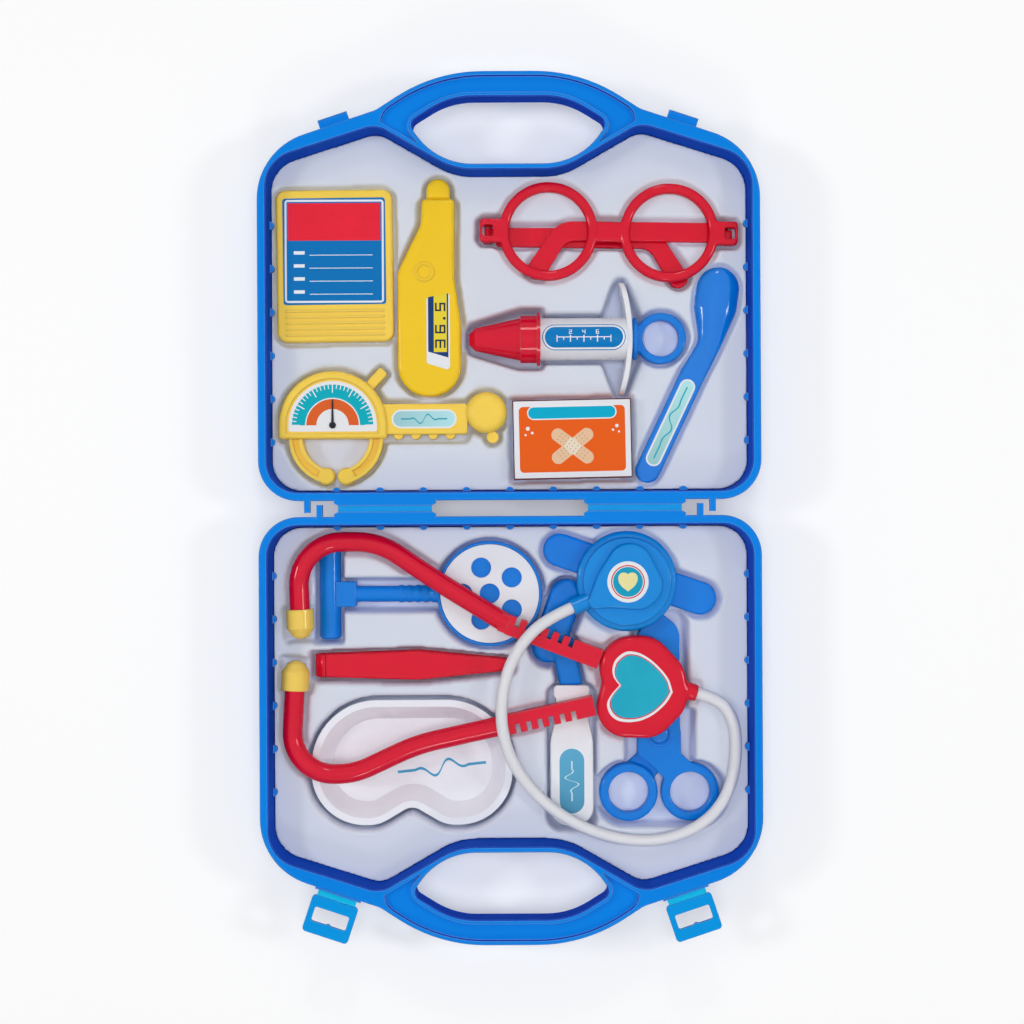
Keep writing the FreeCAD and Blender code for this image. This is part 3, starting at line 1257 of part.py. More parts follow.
def make_scissors():
    where = place(scissors_spot_shares)
    low = low_tool_top - rivet_dome_height - 2 * lever_thickness - lever_gap
    high = low + 2 * lever_thickness + lever_gap
    for hand, name in ((-1, "scissors_lower_lever"), (1, "scissors_upper_lever")):
        start = low if hand < 0 else high - lever_thickness
        ring_spot = (hand * finger_ring_offset, -finger_ring_drop)
        ring = cylinder(finger_ring_radius, low, high, ring_spot)
        ring = soften(ring, high, finger_ring_edge)
        bore = cylinder(finger_ring_bore, low - overrun, high + overrun, ring_spot)
        flank_x = finger_ring_offset + shank_flank_shares[0] * finger_ring_radius
        root_x = finger_ring_offset - shank_root_shares[0] * finger_ring_radius
        shank_points = [
            (-pivot_boss_radius, 0.0), (-pivot_boss_radius, -shank_waist_share * finger_ring_drop),
            (-shank_crotch_shares[0] * pivot_boss_radius, -shank_crotch_shares[1] * finger_ring_drop),
            (root_x, -shank_root_shares[1] * finger_ring_drop), (finger_ring_offset, -finger_ring_drop),
            (flank_x, -shank_flank_shares[1] * finger_ring_drop),
            (pivot_boss_radius, -shank_waist_share * finger_ring_drop), (pivot_boss_radius, 0.0)]
        shank = prism([(hand * x, y, 0.0) for x, y in shank_points[::hand]], start, start + lever_thickness)
        boss = cylinder(pivot_boss_radius, start, start + lever_thickness)
        half = blade_width / 2
        blade = prism([(-half, 0.0, 0.0), (half, 0.0, 0.0), (half, blade_length * (1 - blade_tip_share), half),
                       (hand * half * blade_tip_share, blade_length, half * blade_tip_share),
                       (-half, blade_length * (1 - blade_tip_share), half)], start, start + lever_thickness)
        hole = cylinder(pivot_hole_radius + rivet_fit, low - overrun, high + overrun)
        lever = ring.fuse([shank, boss, blade]).cut([bore, hole]).removeSplitter()
        parts[name] = placed(lever, where)
    stem = cylinder(pivot_hole_radius, low, high + tiny)
    cap = cylinder(rivet_dome_radius, high, high + rivet_dome_height)
    cap = soften(cap, high + rivet_dome_height, rivet_dome_height - overrun / 4)
    parts["scissors_rivet"] = placed(stem.fuse(cap).removeSplitter(), where)
    half_span = finger_ring_offset + finger_ring_radius + scissors_swing
    plan = rectangle(2 * half_span, 2 * finger_ring_radius, finger_ring_radius, (0, -finger_ring_drop))
    pocket(lower_pockets, plan, where, low - tray_seat_gap)
    neck = rectangle(2 * finger_ring_offset, finger_ring_drop + pivot_boss_radius, 0.0,
                     (0, (pivot_boss_radius - finger_ring_drop) / 2))
    pocket(lower_pockets, neck, where, low - tray_seat_gap)
    blades = rectangle(blade_width + 2 * scissors_swing, blade_length, blade_width / 4, (0, blade_length / 2))
    pocket(lower_pockets, blades, where, low - tray_seat_gap)


def bend_radii(points, shares):
    """Radii whose arcs take these shares of the shorter run beside each inner point."""
    radii = []
    for before, at, after, share in zip(points, points[1:], points[2:], shares):
        into = at - before
        out = after - at
        radii.append(share * min(into.Length, out.Length) / math.tan(into.getAngle(out) / 2))
    return radii


def rounded_path(points, radii):
    """A wire of straight runs joined by tangent arcs, with one radius for each inner point."""
    edges = []
    start = points[0]
    for before, at, after, radius in zip(points, points[1:], points[2:], radii):
        into = (at - before).normalize()
        out = (after - at).normalize()
        turn = into.getAngle(out)
        tangent = radius * math.tan(turn / 2)
        first = at - into * tangent
        last = at + out * tangent
        inward = (out - into).normalize()
        middle = at + inward * (radius / math.cos(turn / 2) - radius)
        edges.append(Part.LineSegment(start, first).toShape())
        edges.append(Part.Arc(first, middle, last).toShape())
        start = last
    edges.append(Part.LineSegment(start, points[-1]).toShape())
    return Part.Wire(edges)


def tube(path, radius):
    """A round solid along a path, from its first point."""
    first = path.OrderedEdges[0]
    start = first.valueAt(first.FirstParameter)
    direction = first.tangentAt(first.FirstParameter)
    section = Part.Wire(Part.makeCircle(radius, start, direction))
    return path.makePipeShell([section], True, False)


def ear_tip(start, direction, height):
    """A bullet-shaped tip on the end of an ear tube."""
    bullet = turned([
        (0.0, 0.0), (0.0, ear_tip_radius), (ear_tip_length - ear_tip_round, ear_tip_radius),
        (ear_tip_length - ear_tip_round / 4, ear_tip_radius - ear_tip_round / 2),
        (ear_tip_length, ear_tip_radius - ear_tip_round), (ear_tip_length, 0.0)])
    turn = math.degrees(math.atan2(direction.y, direction.x))
    return placed(bullet, Placement(Vector(start.x, start.y, height), Rotation(upright, turn)))


def flex_bar(start, end, side):
    """The notched bar between an ear tube and the heart."""
    span = end - start
    turn = math.degrees(math.atan2(span.y, span.x))
    bar = block(0.0, span.Length, -tube_radius, tube_radius, -flex_height / 2, flex_height / 2)
    lap_half = tube_radius - flex_lap_inset
    bar = bar.fuse(block(-flex_lap, overrun, -lap_half, lap_half, -flex_height / 2, flex_height / 2))
    notches = []
    for step in range(flex_tooth_count):
        x = (step + 1) * flex_tooth_pitch - flex_tooth_gap
        y_ends = sorted((side * (tube_radius + overrun), side * (tube_radius - flex_tooth_depth)))
        notches.append(block(x, x + flex_tooth_gap, y_ends[0], y_ends[1], -flex_height, flex_height))
    return placed(bar.cut(notches), Placement(start, Rotation(upright, turn)))


def make_stethoscope():
    level = tube_level + tube_radius
    heart_place = place(heart_spot_shares, 0.0, tube_level)
    heart_points = scaled(heart_outline_shares, heart_length, heart_width)
    heart = soften(prism(heart_points, 0.0, heart_thickness), heart_thickness, heart_edge)
    heart = placed(heart, heart_place)
    heart_label = prism(scaled(heart_label_shares, heart_length, heart_width), heart_thickness,
                        heart_thickness + label_thickness)
    parts["heart_label"] = placed(heart_label, heart_place)
    pocket(lower_pockets, heart_points, heart_place, tube_level - tray_seat_gap)
    ear_sets = (
        ("upper", upper_tube_shares, upper_tube_bend_shares, upper_flex_end_shares, 1),
        ("lower", lower_tube_shares, lower_tube_bend_shares, lower_flex_end_shares, -1))
    for name, shares, bends, flex_end, side in ear_sets:
        points = [Vector(sx * half_width, sy * case_reach, level) for sx, sy in shares]
        path = rounded_path(points, bend_radii(points, bends))
        end = Vector(flex_end[0] * half_width, flex_end[1] * case_reach, level)
        bar = flex_bar(points[-1], end, side)
        whole = tube(path, tube_radius).fuse(bar).cut(heart)
        parts["ear_tube_" + name] = max(whole.Solids, key=lambda solid: solid.Volume)
        outward = (points[0] - points[1]).normalize()
        parts["ear_tip_" + name] = ear_tip(points[0], outward, level)
        flat = Part.Wire(path.Edges)
        groove = flat.makeOffset2D(tube_radius + pocket_clearance, 0, False, False, False)
        groove.translate(Vector(0, 0, tube_level - round_seat_gap - level))
        tube_grooves.append(Part.Face(groove))
        flex_turn = math.degrees(math.atan2(end.y - points[-1].y, end.x - points[-1].x))
        bar_length = (end - points[-1]).Length
        pocket(lower_pockets, rectangle(bar_length, 2 * tube_radius, 0.0, (bar_length / 2, 0)),
               Placement(points[-1], Rotation(upright, flex_turn)), tube_level - round_seat_gap)
        tip_turn = math.degrees(math.atan2(outward.y, outward.x))
        pocket(lower_pockets, rectangle(ear_tip_length, 2 * ear_tip_radius, 0.0, (ear_tip_length / 2, 0)),
               Placement(points[0], Rotation(upright, tip_turn)), level - ear_tip_radius - round_seat_gap)
    hose_points = [Vector(*point) for point in hose_route]
    radii = bend_radii(hose_points, [hose_arc_share] * (len(hose_points) - 2))
    print("hose radii", [round(radius, 1) for radius in radii])
    hose_path = rounded_path(hose_points, radii)
    hose = tube(hose_path, hose_radius)
    print("hose length", round(hose_path.Length, 1), "volume over section times length",
          round(hose.Volume / (math.pi * hose_radius ** 2 * hose_path.Length), 4))
    parts["hose"] = hose
    first = hose_points[0]
    root = heart_place.multVec(Vector(heart_socket_shares[0] * heart_length, heart_socket_shares[1] * heart_width,
                                      heart_socket_shares[2] * heart_thickness))
    out = first - root
    socket = Part.makeCylinder(hose_socket_radius, out.Length, root, out)
    parts["heart_body"] = heart.fuse(socket).removeSplitter().cut(hose)
    socket_turn = math.degrees(math.atan2(out.y, out.x))
    pocket(lower_pockets, rectangle(out.Length, 2 * hose_socket_radius, 0.0, (out.Length / 2, 0)),
           Placement(root, Rotation(upright, socket_turn)), root.z - hose_socket_radius - round_seat_gap)
    chest_place = place(chest_spot_shares, chest_angle, tube_level)
    base = soften(cylinder(chest_radius, 0.0, chest_base_height), chest_base_height, chest_base_edge)
    top = cylinder(chest_radius - chest_step, chest_base_height - tiny, chest_base_height + chest_top_height)
    top = soften(top, chest_base_height + chest_top_height, chest_base_edge / 2)
    last = hose_points[-1]
    inlet = chest_place.multVec(Vector(chest_inlet_shares[0] * chest_radius, chest_inlet_shares[1] * chest_radius,
                                       chest_inlet_shares[2] * (chest_base_height + chest_top_height)))
    spout = Part.makeCylinder(chest_socket_radius, (inlet - last).Length, last, inlet - last)
    cap_low = chest_base_height + chest_top_height
    cap = prism(scaled(chest_cap_shares, chest_radius - chest_step, chest_radius - chest_step), cap_low,
                cap_low + chest_cap_height)
    cap = soften(cap, cap_low + chest_cap_height, chest_cap_edge)
    cap = placed(cap, chest_place)
    chest = placed(base.fuse(top), chest_place).fuse(spout).cut(hose)
    parts["chest_cap"] = cap.cut(spout)
    parts["chest_body"] = max(chest.Solids, key=lambda solid: solid.Volume)
    badge = cylinder(chest_label_radius, cap_low + chest_cap_height, cap_low + chest_cap_height + label_thickness)
    parts["chest_label"] = placed(badge, chest_place)
    pocket(lower_pockets, disc(chest_radius), chest_place, tube_level - tray_seat_gap)


tube_grooves = []
make_badge()
make_thermometer()
make_glasses()
make_syringe()
make_spoon()
make_gauge()
make_carton()
make_hammer()
make_tweezers()
make_kidney_dish()
make_scope()
make_depressor()
make_scissors()
make_stethoscope()

parts["upper_case"] = case_half(1, upper_plateau)
parts["lower_case"] = case_half(-1, lower_plateau)
parts["hinge_webs"] = hinge_webs()
for hand, name in ((-1, "left"), (1, "right")):
    parts["latch_" + name] = placed(latch_plate(), latch_place(-1, hand))
    parts["latch_web_" + name] = placed(latch_web(), latch_place(-1, hand))
parts["upper_tray"] = tray(1, upper_plateau, upper_pockets)
lower_tray = tray(-1, lower_plateau, lower_pockets)
grooves = [face.extrude(Vector(0, 0, lower_plateau)) for face in tube_grooves]
parts["lower_tray"] = lower_tray.cut(grooves)

os.makedirs("parts", exist_ok=True)
for name, shape in parts.items():
    print(name, len(shape.Solids), shape.isValid(), round(shape.Volume, 1))
    shape.exportStep("parts/" + name + ".step")
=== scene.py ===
import json
import math
import bmesh
import bpy
import numpy as np
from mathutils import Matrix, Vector
from mathutils.bvhtree import BVHTree


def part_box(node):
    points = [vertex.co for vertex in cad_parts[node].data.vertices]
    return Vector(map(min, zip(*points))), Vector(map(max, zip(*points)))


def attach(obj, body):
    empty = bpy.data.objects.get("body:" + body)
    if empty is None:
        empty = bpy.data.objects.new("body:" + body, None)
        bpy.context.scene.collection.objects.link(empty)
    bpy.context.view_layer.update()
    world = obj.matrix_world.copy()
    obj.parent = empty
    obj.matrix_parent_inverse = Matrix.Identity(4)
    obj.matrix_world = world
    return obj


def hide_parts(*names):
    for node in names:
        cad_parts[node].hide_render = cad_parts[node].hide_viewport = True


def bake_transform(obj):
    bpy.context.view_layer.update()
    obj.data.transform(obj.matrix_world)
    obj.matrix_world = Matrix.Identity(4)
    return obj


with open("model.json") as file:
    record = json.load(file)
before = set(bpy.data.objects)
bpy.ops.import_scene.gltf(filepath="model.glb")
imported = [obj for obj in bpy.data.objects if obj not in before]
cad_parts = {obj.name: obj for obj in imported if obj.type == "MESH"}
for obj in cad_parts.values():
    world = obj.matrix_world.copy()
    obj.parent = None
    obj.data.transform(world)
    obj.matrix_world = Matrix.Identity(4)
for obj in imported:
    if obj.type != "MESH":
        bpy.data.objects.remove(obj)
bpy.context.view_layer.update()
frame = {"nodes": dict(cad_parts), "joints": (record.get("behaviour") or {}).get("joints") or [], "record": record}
nodes = frame["nodes"]
scene = bpy.context.scene
scene.view_settings.view_transform = "Standard"
mm = 0.001
print("frame loaded with", len(nodes), "nodes")

# the camera hangs straight above the open case
camera = {"distance": 0.80, "rim": 0.034, "width": 0.512, "middle": (0.001, -0.002), "roll": -0.3,
          "sensor": 36.0}


def hangCamera():
    lens = bpy.data.cameras.new("camera")
    lens.sensor_width = camera["sensor"]
    lens.lens = camera["sensor"] * camera["distance"] / camera["width"]
    eye = bpy.data.objects.new("camera", lens)
    eye.location = (*camera["middle"], camera["rim"] + camera["distance"])
    eye.rotation_euler = (0, 0, math.radians(camera["roll"]))
    scene.collection.objects.link(eye)
    scene.camera = eye


hangCamera()

# the soft hose from the heart round the scissors to the chest piece, points in mm
hose = {
    "diameter": 0.006, "length": 0.290, "around": 6, "along": 10,
    "route": [(94.5, -94.6, 21.0), (105.5, -97.6, 21.2), (113, -107.5, 21.4), (114.6, -122, 21.4),
              (112.5, -138.5, 21.4), (105.5, -153.5, 21.4), (92.5, -164, 21.4), (75, -169.5, 21.4),
              (56, -168.8, 21.4), (37.5, -163.3, 21.4), (21, -153.5, 21.6), (7.5, -140.2, 23),
              (-1.5, -124.6, 26.2), (-5.2, -108, 29), (-4.4, -92, 29.4), (0.2, -77, 29.4),
              (8.4, -64.4, 28.6), (19.6, -55.6, 26), (31.2, -50.6, 24.2)],
}


def layHose():
    line = bpy.data.curves.new("hoseTube", "CURVE")
    line.dimensions = "3D"
    line.bevel_depth = 1.0  # each point holds the hose's own radius
    line.bevel_resolution = hose["around"]
    line.resolution_u = hose["along"]
    line.use_fill_caps = True
    spline = line.splines.new("NURBS")
    spline.points.add(len(hose["route"]) - 1)
    for point, spot in zip(spline.points, hose["route"]):
        point.co = (spot[0] * mm, spot[1] * mm, spot[2] * mm, 1)
        point.radius = hose["diameter"] / 2
    spline.order_u = 3  # after the points, so that the line is smooth
    spline.use_endpoint_u = True
    tube = bpy.data.objects.new("hoseTube", line)
    scene.collection.objects.link(tube)
    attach(tube, "stethoscope")
    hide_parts("hose")
    return tube


hoseTube = layHose()
print("camera and hose in place")


class Flow:  # a shader socket that can be added, scaled and compared in Python
    def __init__(self, tree, socket=None):
        self.tree = tree
        self.socket = socket

    def node(self, kind, settings=None, feeds=None, output=0):
        made = self.tree.nodes.new(kind)
        for name, value in (settings or {}).items():
            setattr(made, name, value)
        for name, value in (feeds or {}).items():
            if isinstance(value, Flow):
                self.tree.links.new(value.socket, made.inputs[name])
            else:
                made.inputs[name].default_value = value
        return Flow(self.tree, made.outputs[output] if len(made.outputs) else None)

    def other(self, output):  # another output of the same node
        return Flow(self.tree, self.socket.node.outputs[output])

    def maths(self, kind, first, second=0.0):
        return self.node("ShaderNodeMath", {"operation": kind}, {0: first, 1: second})

    def __add__(self, other):
        return self.maths("ADD", self, other)

    def __radd__(self, other):
        return self.maths("ADD", other, self)

    def __sub__(self, other):
        return self.maths("SUBTRACT", self, other)

    def __rsub__(self, other):
        return self.maths("SUBTRACT", other, self)

    def __mul__(self, other):
        return self.maths("MULTIPLY", self, other)

    def __rmul__(self, other):
        return self.maths("MULTIPLY", other, self)

    def __truediv__(self, other):
        return self.maths("DIVIDE", self, other)

    def __rtruediv__(self, other):
        return self.maths("DIVIDE", other, self)

    def __gt__(self, other):
        return self.maths("GREATER_THAN", self, other)

    def __lt__(self, other):
        return self.maths("LESS_THAN", self, other)

    def __or__(self, other):
        return self.maths("MAXIMUM", self, other)

    def __ror__(self, other):
        return self.maths("MAXIMUM", other, self)

    def __and__(self, other):
        return self.maths("MINIMUM", self, other)

    def __rand__(self, other):
        return self.maths("MINIMUM", other, self)

    def __mod__(self, other):
        return self.maths("FLOORED_MODULO", self, other)

    def __rmod__(self, other):
        return self.maths("FLOORED_MODULO", other, self)

    def __abs__(self):
        return self.maths("ABSOLUTE", self)


def paint(level):  # three linear levels as a colour
    return (*level, 1.0)


def shade(level, gain):  # the same colour made deeper or brighter
    return tuple(min(part * gain, 1.0) for part in level)


def tint(level, share):  # the same colour moved towards white
    return tuple(part + (1 - part) * share for part in level)


def mixColour(mask, under, over):
    return mask.node("ShaderNodeMix", {"data_type": "RGBA"}, {0: mask, 6: under, 7: over}, 2)


def newFinish(name):
    finish = bpy.data.materials.new(name)
    finish.use_nodes = True
    shader = finish.node_tree.nodes["Principled BSDF"]
    return finish, Flow(finish.node_tree), shader


def feed(shader, name, flow):
    flow.tree.links.new(flow.socket, shader.inputs[name])


def noise(flow, place, scale, detail):
    return flow.node("ShaderNodeTexNoise", feeds={"Vector": place, "Scale": scale, "Detail": detail})


def clamped(flow):
    return (flow & 1.0) | 0.0


# moulded plastic: cloudy pigment, a fine skin, uneven gloss and edges that are never quite sharp, with painted
# shade on inner walls and in pockets and a painted highlight along edges in some looks
plastic = {"cloud": 28.0, "depth": 0.06, "gloss": 120.0, "uneven": 0.12, "skin": 1500.0, "grain": 0.06,
           "grainDepth": 0.0002, "edge": 0.0005, "coat": 0.0, "coatRough": 0.08, "shine": 0.1, "metal": 0.0,
           "halfMiddle": 0.1, "wallTurn": 25.0, "wallRough": 0.5, "pocketFade": 0.004, "rub": 0.2}


def moulded(name, look, draw=None):
    look = {**plastic, **look}
    finish, flow, shader = newFinish(name)
    place = flow.node("ShaderNodeTexCoord", output="Object")
    cloud = noise(flow, place, look["cloud"], 3.0)
    skin = noise(flow, place, look["skin"], 2.0)
    gloss = noise(flow, place, look["gloss"], 4.0)
    rounded = flow.node("ShaderNodeBevel", {"samples": 4}, {"Radius": look["edge"]})
    base, depth = look["colour"], look["depth"]
    colour = mixColour(cloud, paint(shade(base, 1 - depth)), paint(shade(base, 1 + depth)))
    rough = look["rough"] + (gloss - 0.5) * look["uneven"]
    if "wall" in look:  # painted shade: a darker blue on the walls that face into a half, which get less light; those walls are also rougher
        facing = flow.node("ShaderNodeSeparateXYZ", feeds={"Vector": place.other("Normal")})
        spot = flow.node("ShaderNodeSeparateXYZ", feeds={"Vector": place})
        along = abs(spot.other(1)) - look["halfMiddle"]
        side = flow.maths("SIGN", spot.other(1))
        inner = clamped((spot * facing + along * side * facing.other(1)) * -look["wallTurn"])
        colour = mixColour(inner, colour, paint(look["wall"]))
        rough = rough + inner * look["wallRough"]
    if "deep" in look:  # painted shade: below the plateau the sheet turns bluer, so that the shade in its pockets reads blue
        level = flow.node("ShaderNodeSeparateXYZ", feeds={"Vector": place}).other(2)
        sunk = clamped((look["level"] - level) / look["pocketFade"])
        colour = mixColour(sunk, colour, paint(look["deep"]))
    if "worn" in look:  # painted highlight: edges a little lighter, where they catch the light
        flat = flow.node("ShaderNodeNewGeometry", output="Normal")
        alike = flow.node("ShaderNodeVectorMath", {"operation": "DOT_PRODUCT"},
                          {0: rounded, 1: flat}, "Value")
        colour = mixColour(clamped((1 - alike) * look["worn"]), colour, paint(tint(base, look["rub"])))
    if draw:
        colour = draw(flow, colour)
    feed(shader, "Base Color", colour)
    feed(shader, "Roughness", rough)
    bump = flow.node("ShaderNodeBump", feeds={"Strength": look["grain"], "Distance": look["grainDepth"],
                                              "Height": skin, "Normal": rounded})
    feed(shader, "Normal", bump)
    shader.inputs["Metallic"].default_value = look["metal"]
    shader.inputs["Coat Weight"].default_value = look["coat"]
    shader.inputs["Coat Roughness"].default_value = look["coatRough"]
    shader.inputs["Specular IOR Level"].default_value = look["shine"]
    return finish


def fromMiddle(flow, middle, angle=0.0):  # millimetres along and across from a label's own middle
    place = flow.node("ShaderNodeTexCoord", output="Object")
    local = flow.node("ShaderNodeMapping", {"vector_type": "TEXTURE"}, {
        "Vector": place, "Location": middle, "Rotation": (0, 0, math.radians(angle)), "Scale": (mm, mm, mm)})
    split = flow.node("ShaderNodeSeparateXYZ", feeds={"Vector": local})
    return split, split.other(1), split.other(2)


def middleOf(*names):  # the middle of the box round these nodes
    lows, highs = zip(*(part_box(name) for name in names))
    return tuple((min(low[k] for low in lows) + max(high[k] for high in highs)) / 2 for k in range(3))


def roundBox(x, y, halfWide, halfHigh, radius):  # distance to a rounded panel, negative inside
    across, up = abs(x) - (halfWide - radius), abs(y) - (halfHigh - radius)
    outX, outY = across | 0.0, up | 0.0
    far = x.maths("SQRT", outX * outX + outY * outY)
    return far + ((across | up) & 0.0) - radius


def between(value, low, high):
    return (value > low) * (value < high)


def every(value, pitch, thick):  # lines at even steps, one of them at zero
    return abs((value + pitch / 2) % pitch - pitch / 2) < thick


def bar(x, y, left, right, low, high):  # a plain upright rectangle
    return between(x, left, right) * between(y, low, high)


pulse = {"spread": 0.3, "beats": 5}


def pulseLine(x, y, wide, height, thick):  # a heartbeat trace along the middle of a label
    swell = (1 - abs(x) / (wide * pulse["spread"])) | 0.0
    trace = x.maths("SINE", x * (pulse["beats"] * math.pi / wide)) * swell * height
    return (abs(y - trace) < thick) * (abs(x) < wide / 2)


segments = {"a": (0, 1, 1, 1), "b": (1, 0.5, 1, 1), "c": (1, 0, 1, 0.5), "d": (0, 0, 1, 0),
            "e": (0, 0, 0, 0.5), "f": (0, 0.5, 0, 1), "g": (0, 0.5, 1, 0.5)}
numerals = {"2": "abged", "3": "abgcd", "4": "fgbc", "5": "afgcd", "6": "afgedc"}


def numeral(x, y, sign, left, low, wide, high, thick):  # seven bars, as on a plain display
    mask = None
    for name in numerals[sign]:
        x0, y0, x1, y1 = segments[name]
        stroke = bar(x, y, left + x0 * wide - thick, left + x1 * wide + thick,
                     low + y0 * high - thick, low + y1 * high + thick)
        mask = stroke if mask is None else mask | stroke
    return mask


def pill(flow, middle, angle, wide, high):  # a label with full round ends
    x, y = fromMiddle(flow, middle, angle)[:2]
    return x, y, roundBox(x, y, wide / 2, high / 2, min(wide, high) / 2)


# labels are drawn in mm from their middles, and each is a function of the shader and the colour under it
badgeLabel = {"size": (52.0, 54.0), "corner": 2.5, "border": (-1.9, -0.9), "panelEdge": -2.6,
              "panelFoot": 5.4, "smear": 70.0, "bright": 1.25, "rows": (-1.8, -8.4, -15.0, -21.6),
              "rule": (-12.5, 19.5, -0.30, 0.05), "mark": (-20.5, -15.0, 0.2, 1.9),
              "ground": (0.004, 0.165, 0.470), "panel": (0.700, 0.020, 0.040), "white": (0.78, 0.80, 0.84),
              "ink": (0.80, 0.83, 0.86)}


def drawBadge(flow, under):
    look = badgeLabel
    x, y = fromMiddle(flow, middleOf("badge_label"))[:2]
    edge = roundBox(x, y, look["size"][0] / 2, look["size"][1] / 2, look["corner"])
    colour = mixColour(between(edge, *look["border"]), paint(look["ground"]), paint(look["white"]))
    panel = (edge < look["panelEdge"]) * (y > look["panelFoot"])
    smear = noise(flow, flow.node("ShaderNodeTexCoord", output="Object"), look["smear"], 2.0)
    bright = shade(look["panel"], look["bright"])
    colour = mixColour(panel, colour, mixColour(smear, paint(look["panel"]), paint(bright)))
    marks = None
    for row in look["rows"]:  # a ruled line with a short block before it
        line = bar(x, y - row, *look["rule"]) | bar(x, y - row, *look["mark"])
        marks = line if marks is None else marks | line
    return mixColour(marks, colour, paint(look["ink"]))


thermometerLabel = {"left": -1.28, "right": 10.56, "top": (-0.2, 0.216), "bottom": (-33.4, -0.304),
                    "border": (0.8, 0.9), "window": (2.4, 9.0, -33.0, -2.6), "first": (-30.5, 7.9),
                    "figures": (("3", 0.0), ("6", 7.4), ("5", 18.6)), "figure": (3.4, 4.4, 0.45),
                    "point": (13.9, 15.2, -0.5, 0.8), "white": (0.78, 0.80, 0.84),
                    "frame": (0.010, 0.045, 0.170), "display": (0.800, 0.640, 0.045), "ink": (0.02, 0.03, 0.06)}


def drawThermometer(flow, under):
    look = thermometerLabel
    x, y = fromMiddle(flow, middleOf("thermometer_body", "thermometer_tip"))[:2]
    side, end = look["border"]
    across = x - look["left"]
    below = y < look["top"][0] - end + across * look["top"][1]
    above = y > look["bottom"][0] + end + across * look["bottom"][1]
    inside = between(x, look["left"] + side, look["right"] - side) * below * above
    colour = mixColour(inside, paint(look["white"]), paint(look["frame"]))
    colour = mixColour(bar(x, y, *look["window"]), colour, paint(look["display"]))
    along, up = y - look["first"][0], look["first"][1] - x  # the figures are read up the body
    signs = bar(along, up, *look["point"])
    for sign, left in look["figures"]:
        signs = signs | numeral(along, up, sign, left, 0.0, *look["figure"])
    return mixColour(signs, colour, paint(look["ink"]))


syringeLabel = {"size": (42.0, 13.0), "pitch": 3.4, "border": (-1.3, -0.4), "tick": (0.22, -1.4, 0.0),
                "tall": (0.26, -2.4, 1.0), "figures": (("2", -2), ("4", 0), ("6", 2)),
                "figure": (1.7, 1.2, 1.9, 0.17), "steps": 4, "spare": 0.2,
                "ground": (0.002, 0.190, 0.520), "white": (0.80, 0.82, 0.85), "ink": (0.80, 0.83, 0.86)}


def drawSyringe(flow, under):
    look, pitch = syringeLabel, syringeLabel["pitch"]
    x, y, edge = pill(flow, middleOf("syringe_label"), 0.0, *look["size"])
    colour = mixColour(between(edge, *look["border"]), paint(look["ground"]), paint(look["white"]))
    ruled = abs(x) < look["steps"] * pitch + look["spare"]
    ticks = every(x, pitch, look["tick"][0]) * between(y, *look["tick"][1:])
    tall = every(x, 2 * pitch, look["tall"][0]) * between(y, *look["tall"][1:])
    marks = ((abs(y) < look["tick"][0]) | ticks | tall) * ruled
    for sign, spot in look["figures"]:
        left = spot * pitch - look["figure"][1] / 2
        marks = marks | numeral(x, y, sign, left, *look["figure"])
    return mixColour(marks, colour, paint(look["ink"]))


gaugeDial = {"middle": (-0.0896, 0.0424, 0), "rings": (8.2, 13.6, 20.6), "fine": (6, 0.7, 2.2),
             "coarse": (30, 0.9, 4.2), "line": 0.3, "band": (0.004, 0.400, 0.500),
             "arc": (0.700, 0.120, 0.025), "face": (0.78, 0.79, 0.82)}


def drawDial(flow, under):
    look = gaugeDial
    x, y = fromMiddle(flow, look["middle"])[:2]
    far = x.maths("SQRT", x * x + y * y)
    turn = x.maths("ARCTAN2", x, y) * (180 / math.pi)
    inner, middle, outer = look["rings"]
    above = y > 0.0
    colour = mixColour(between(far, middle, outer) * above, paint(look["face"]), paint(look["band"]))
    colour = mixColour(between(far, inner, middle) * above, colour, paint(look["arc"]))
    marks = between(far, middle - look["line"], middle + look["line"])
    for pitch, thick, long in (look["fine"], look["coarse"]):  # ticks in degrees round the dial
        marks = marks | every(turn, pitch, thick) * between(far, outer - long, outer)
    return mixColour(marks * above, colour, paint(look["face"]))


smallLabel = {"fade": (0.82, 1.12), "rise": 0.34, "thick": 0.38, "border": -0.9, "white": (0.78, 0.81, 0.84)}
smallLabels = {
    "gauge_label": {"angle": 0.0, "size": (33.0, 9.6),
                    "ground": (0.400, 0.690, 0.740), "line": (0.03, 0.36, 0.46)},
    "spoon_label": {"angle": 64.5, "size": (48.0, 8.0),
                    "ground": (0.400, 0.700, 0.720), "line": (0.02, 0.38, 0.48)},
    "scope_label": {"angle": 90.0, "size": (35.0, 14.5),
                    "ground": (0.100, 0.360, 0.560), "line": (0.55, 0.74, 0.80)},
}


def drawSmall(name):
    look = {**smallLabel, **smallLabels[name]}
    wide, high = look["size"]

    def draw(flow, under):
        x, y, edge = pill(flow, middleOf(name), look["angle"], wide, high)
        pale, strong = [paint(shade(look["ground"], gain)) for gain in look["fade"]]
        colour = mixColour((x / wide + 0.5) & 1.0, pale, strong)
        trace = pulseLine(x, y, wide - high, high * look["rise"], look["thick"])
        colour = mixColour(trace, colour, paint(look["line"]))
        return mixColour(edge > look["border"], colour, paint(look["white"]))
    return draw


chestLabel = {"disc": 7.5, "line": (7.9, 8.5), "heart": 4.3, "drop": 0.6, "ground": (0.010, 0.330, 0.520),
              "white": (0.78, 0.80, 0.83), "ring": (0.640, 0.030, 0.050), "mark": (0.80, 0.74, 0.35)}


